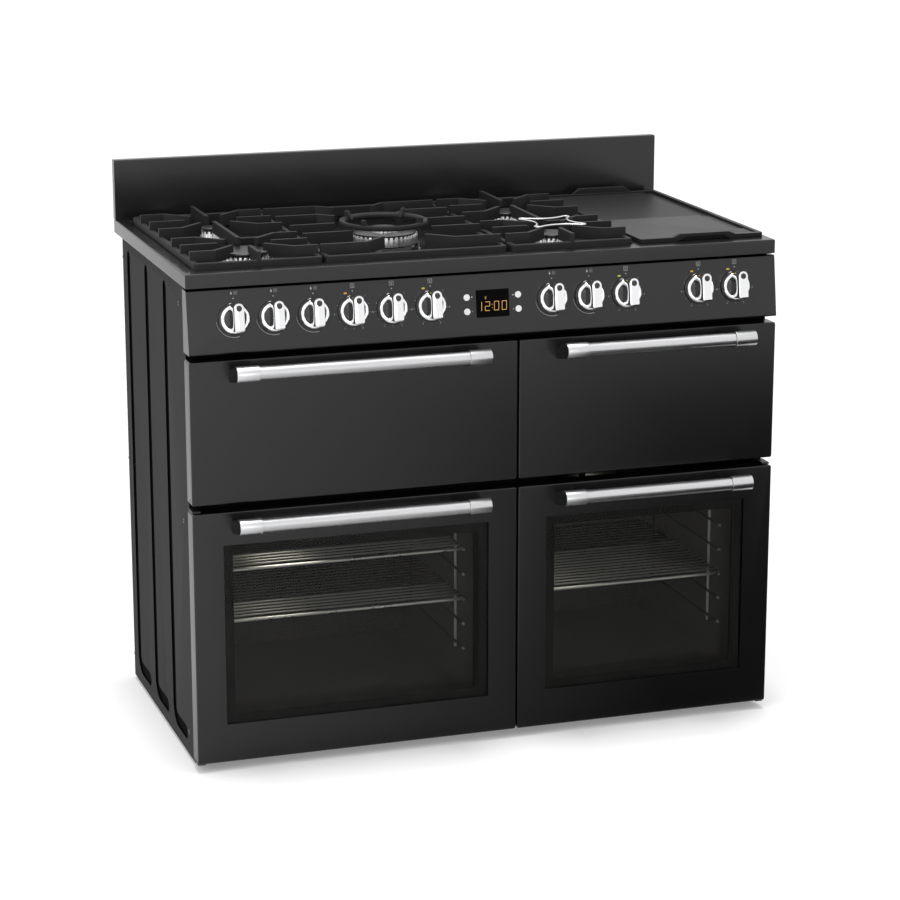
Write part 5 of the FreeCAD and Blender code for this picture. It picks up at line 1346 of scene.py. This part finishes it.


# %% [markdown]
# ## The studio
# The floor and the world are white.  To the eye, and in mirrors, the world is full white; it lights
# the cooker itself more softly.  A light from straight above keeps the shadow close round the foot.
# A dark sheet lies on the floor in front, and only reflections see it: it is painted reflection shade
# that darkens to the right, which keeps the glass and the right-hand doors deep.

# %% How bright the studio is
WORLD_LIGHT = 0.50
FLOOR_LIFT, MIRROR_LIFT = 0.21, 0.10  # what the floor adds to the eye, and to mirrors and glass
# where the sheet of painted reflection shade lies, and the grey of its pale left end
SHADE_SHEET_NEAR, SHADE_SHEET_FAR = -0.305, -3.6
SHADE_SHEET_PALE = 0.9
SUN_LIGHT, SUN_SPREAD = 1.55, 13
print("the world lights things with", WORLD_LIGHT)


# %% Floor, and the sheet of painted reflection shade
def make_sheet(name, corners, faces, material, shades=None):
    """A flat stage piece from its corners; shades are the grey levels of the corners."""
    mesh = bpy.data.meshes.new(name)
    mesh.from_pydata(corners, [], faces)
    mesh.materials.append(material)
    if shades:
        layer = mesh.color_attributes.new("shade", "FLOAT_COLOR", "POINT")
        for corner, shade in zip(layer.data, shades):
            corner.color = (shade, shade, shade, 1)
    piece = bpy.data.objects.new(name, mesh)
    bpy.context.scene.collection.objects.link(piece)
    return piece


def make_floor():
    """A large white floor that keeps the cooker's shadow."""
    material, tree, shader, _ = start_finish("floor white", (0.92, 0.92, 0.92), 0.9, shine=0.0)
    path = tree.nodes.new("ShaderNodeLightPath").outputs
    both = add_math(tree, "ADD", path["Is Glossy Ray"], path["Is Transmission Ray"], clamp=True)
    mirrored = add_math(tree, "MULTIPLY", both, MIRROR_LIFT)
    lift = add_math(tree, "MULTIPLY_ADD", path["Is Camera Ray"], FLOOR_LIFT, mirrored)
    tree.links.new(lift, shader.inputs["Emission Strength"])
    shader.inputs["Emission Color"].default_value = (1, 1, 1, 1)
    corners = [(-30, -30, 0), (30, -30, 0), (30, 30, 0), (-30, 30, 0)]
    make_sheet("floor", corners, [(0, 1, 2, 3)], material)


def make_reflection_shade_sheet():
    """A sheet of painted reflection shade in front of the cooker, darker to the right, that only reflections see.
    """
    material, tree, shader, _ = start_finish("painted reflection shade", (0, 0, 0), 1.0, shine=0.0)
    shade = add_node(tree, "ShaderNodeVertexColor", layer_name="shade")
    tree.links.new(shade.outputs[0], shader.inputs["Base Color"])
    corners = [(x, SHADE_SHEET_NEAR, 0.001) for x in (-0.80, 0.35, 4.5)]
    corners += [(x, SHADE_SHEET_FAR, 0.001) for x in (-0.05, 1.75, 4.5)]
    # painted reflection shade: pale at the left corners, black to the right
    shades = [SHADE_SHEET_PALE, 0, 0] * 2
    shade_sheet = make_sheet("shade_sheet", corners, [(0, 3, 4, 1), (1, 4, 5, 2)], material, shades)
    for kind in ("camera", "diffuse", "transmission", "volume_scatter", "shadow"):
        setattr(shade_sheet, f"visible_{kind}", False)


# %% World and lamps
def make_world():
    """White to the eye and in reflections, softer where it lights things."""
    world = bpy.data.worlds.new("studio")
    world.use_nodes = True
    tree = world.node_tree
    path = tree.nodes.new("ShaderNodeLightPath").outputs
    both = add_math(tree, "ADD", path["Is Camera Ray"], path["Is Glossy Ray"])
    seen = add_math(tree, "ADD", both, path["Is Transmission Ray"], clamp=True)
    level = add_node(tree, "ShaderNodeMapRange", {3: WORLD_LIGHT, 4: 1.0}, {0: seen})
    background = tree.nodes["Background"]
    background.inputs["Color"].default_value = (1, 1, 1, 1)
    tree.links.new(level.outputs[0], background.inputs["Strength"])
    bpy.context.scene.world = world


def make_lamp(name, place, aim, size, power, colour=(1, 1, 1)):
    """A square soft lamp aimed at a point."""
    data = bpy.data.lights.new(name, "AREA")
    data.shape = "SQUARE"
    data.size = size
    data.energy = power
    data.color = colour
    lamp = bpy.data.objects.new(name, data)
    lamp.location = place
    lamp.rotation_euler = (Vector(aim) - Vector(place)).to_track_quat("-Z", "Y").to_euler()
    lamp.visible_camera = False
    bpy.context.scene.collection.objects.link(lamp)


def make_sun():
    """Light from straight above, a few degrees wide: it keeps the shadow close round the foot."""
    data = bpy.data.lights.new("top light", "SUN")
    data.energy = SUN_LIGHT
    data.angle = radians(SUN_SPREAD)
    sun = bpy.data.objects.new("top light", data)
    bpy.context.scene.collection.objects.link(sun)


make_floor()
make_reflection_shade_sheet()
make_world()
make_lamp("key lamp", (-2.6, -2.2, 2.6), aim=(0, 0, 0.6), size=2.8, power=30)
make_lamp("front lamp", (-0.55, -5.0, 1.35), aim=(0, 0, 0.8), size=1.2, power=11)
make_sun()
print("studio lit")


# %% Oven lamps
def make_oven_lamp(node, power):
    """A small warm lamp under the ceiling near the door, which leaves the rear dim."""
    low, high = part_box(node)
    place = (low.x + 0.35 * (high.x - low.x), low.y + 50 * MM, high.z - 15 * MM)
    aim = ((low.x + high.x) / 2, low.y + 90 * MM, low.z)
    make_lamp(f"{node}_lamp", place, aim, 0.16, power, (1.0, 0.95, 0.84))


make_oven_lamp("main_oven_cavity", 0.42)
make_oven_lamp("fan_oven_cavity", 0.22)
print("oven lamps lit")

# %% Finish
print("done")
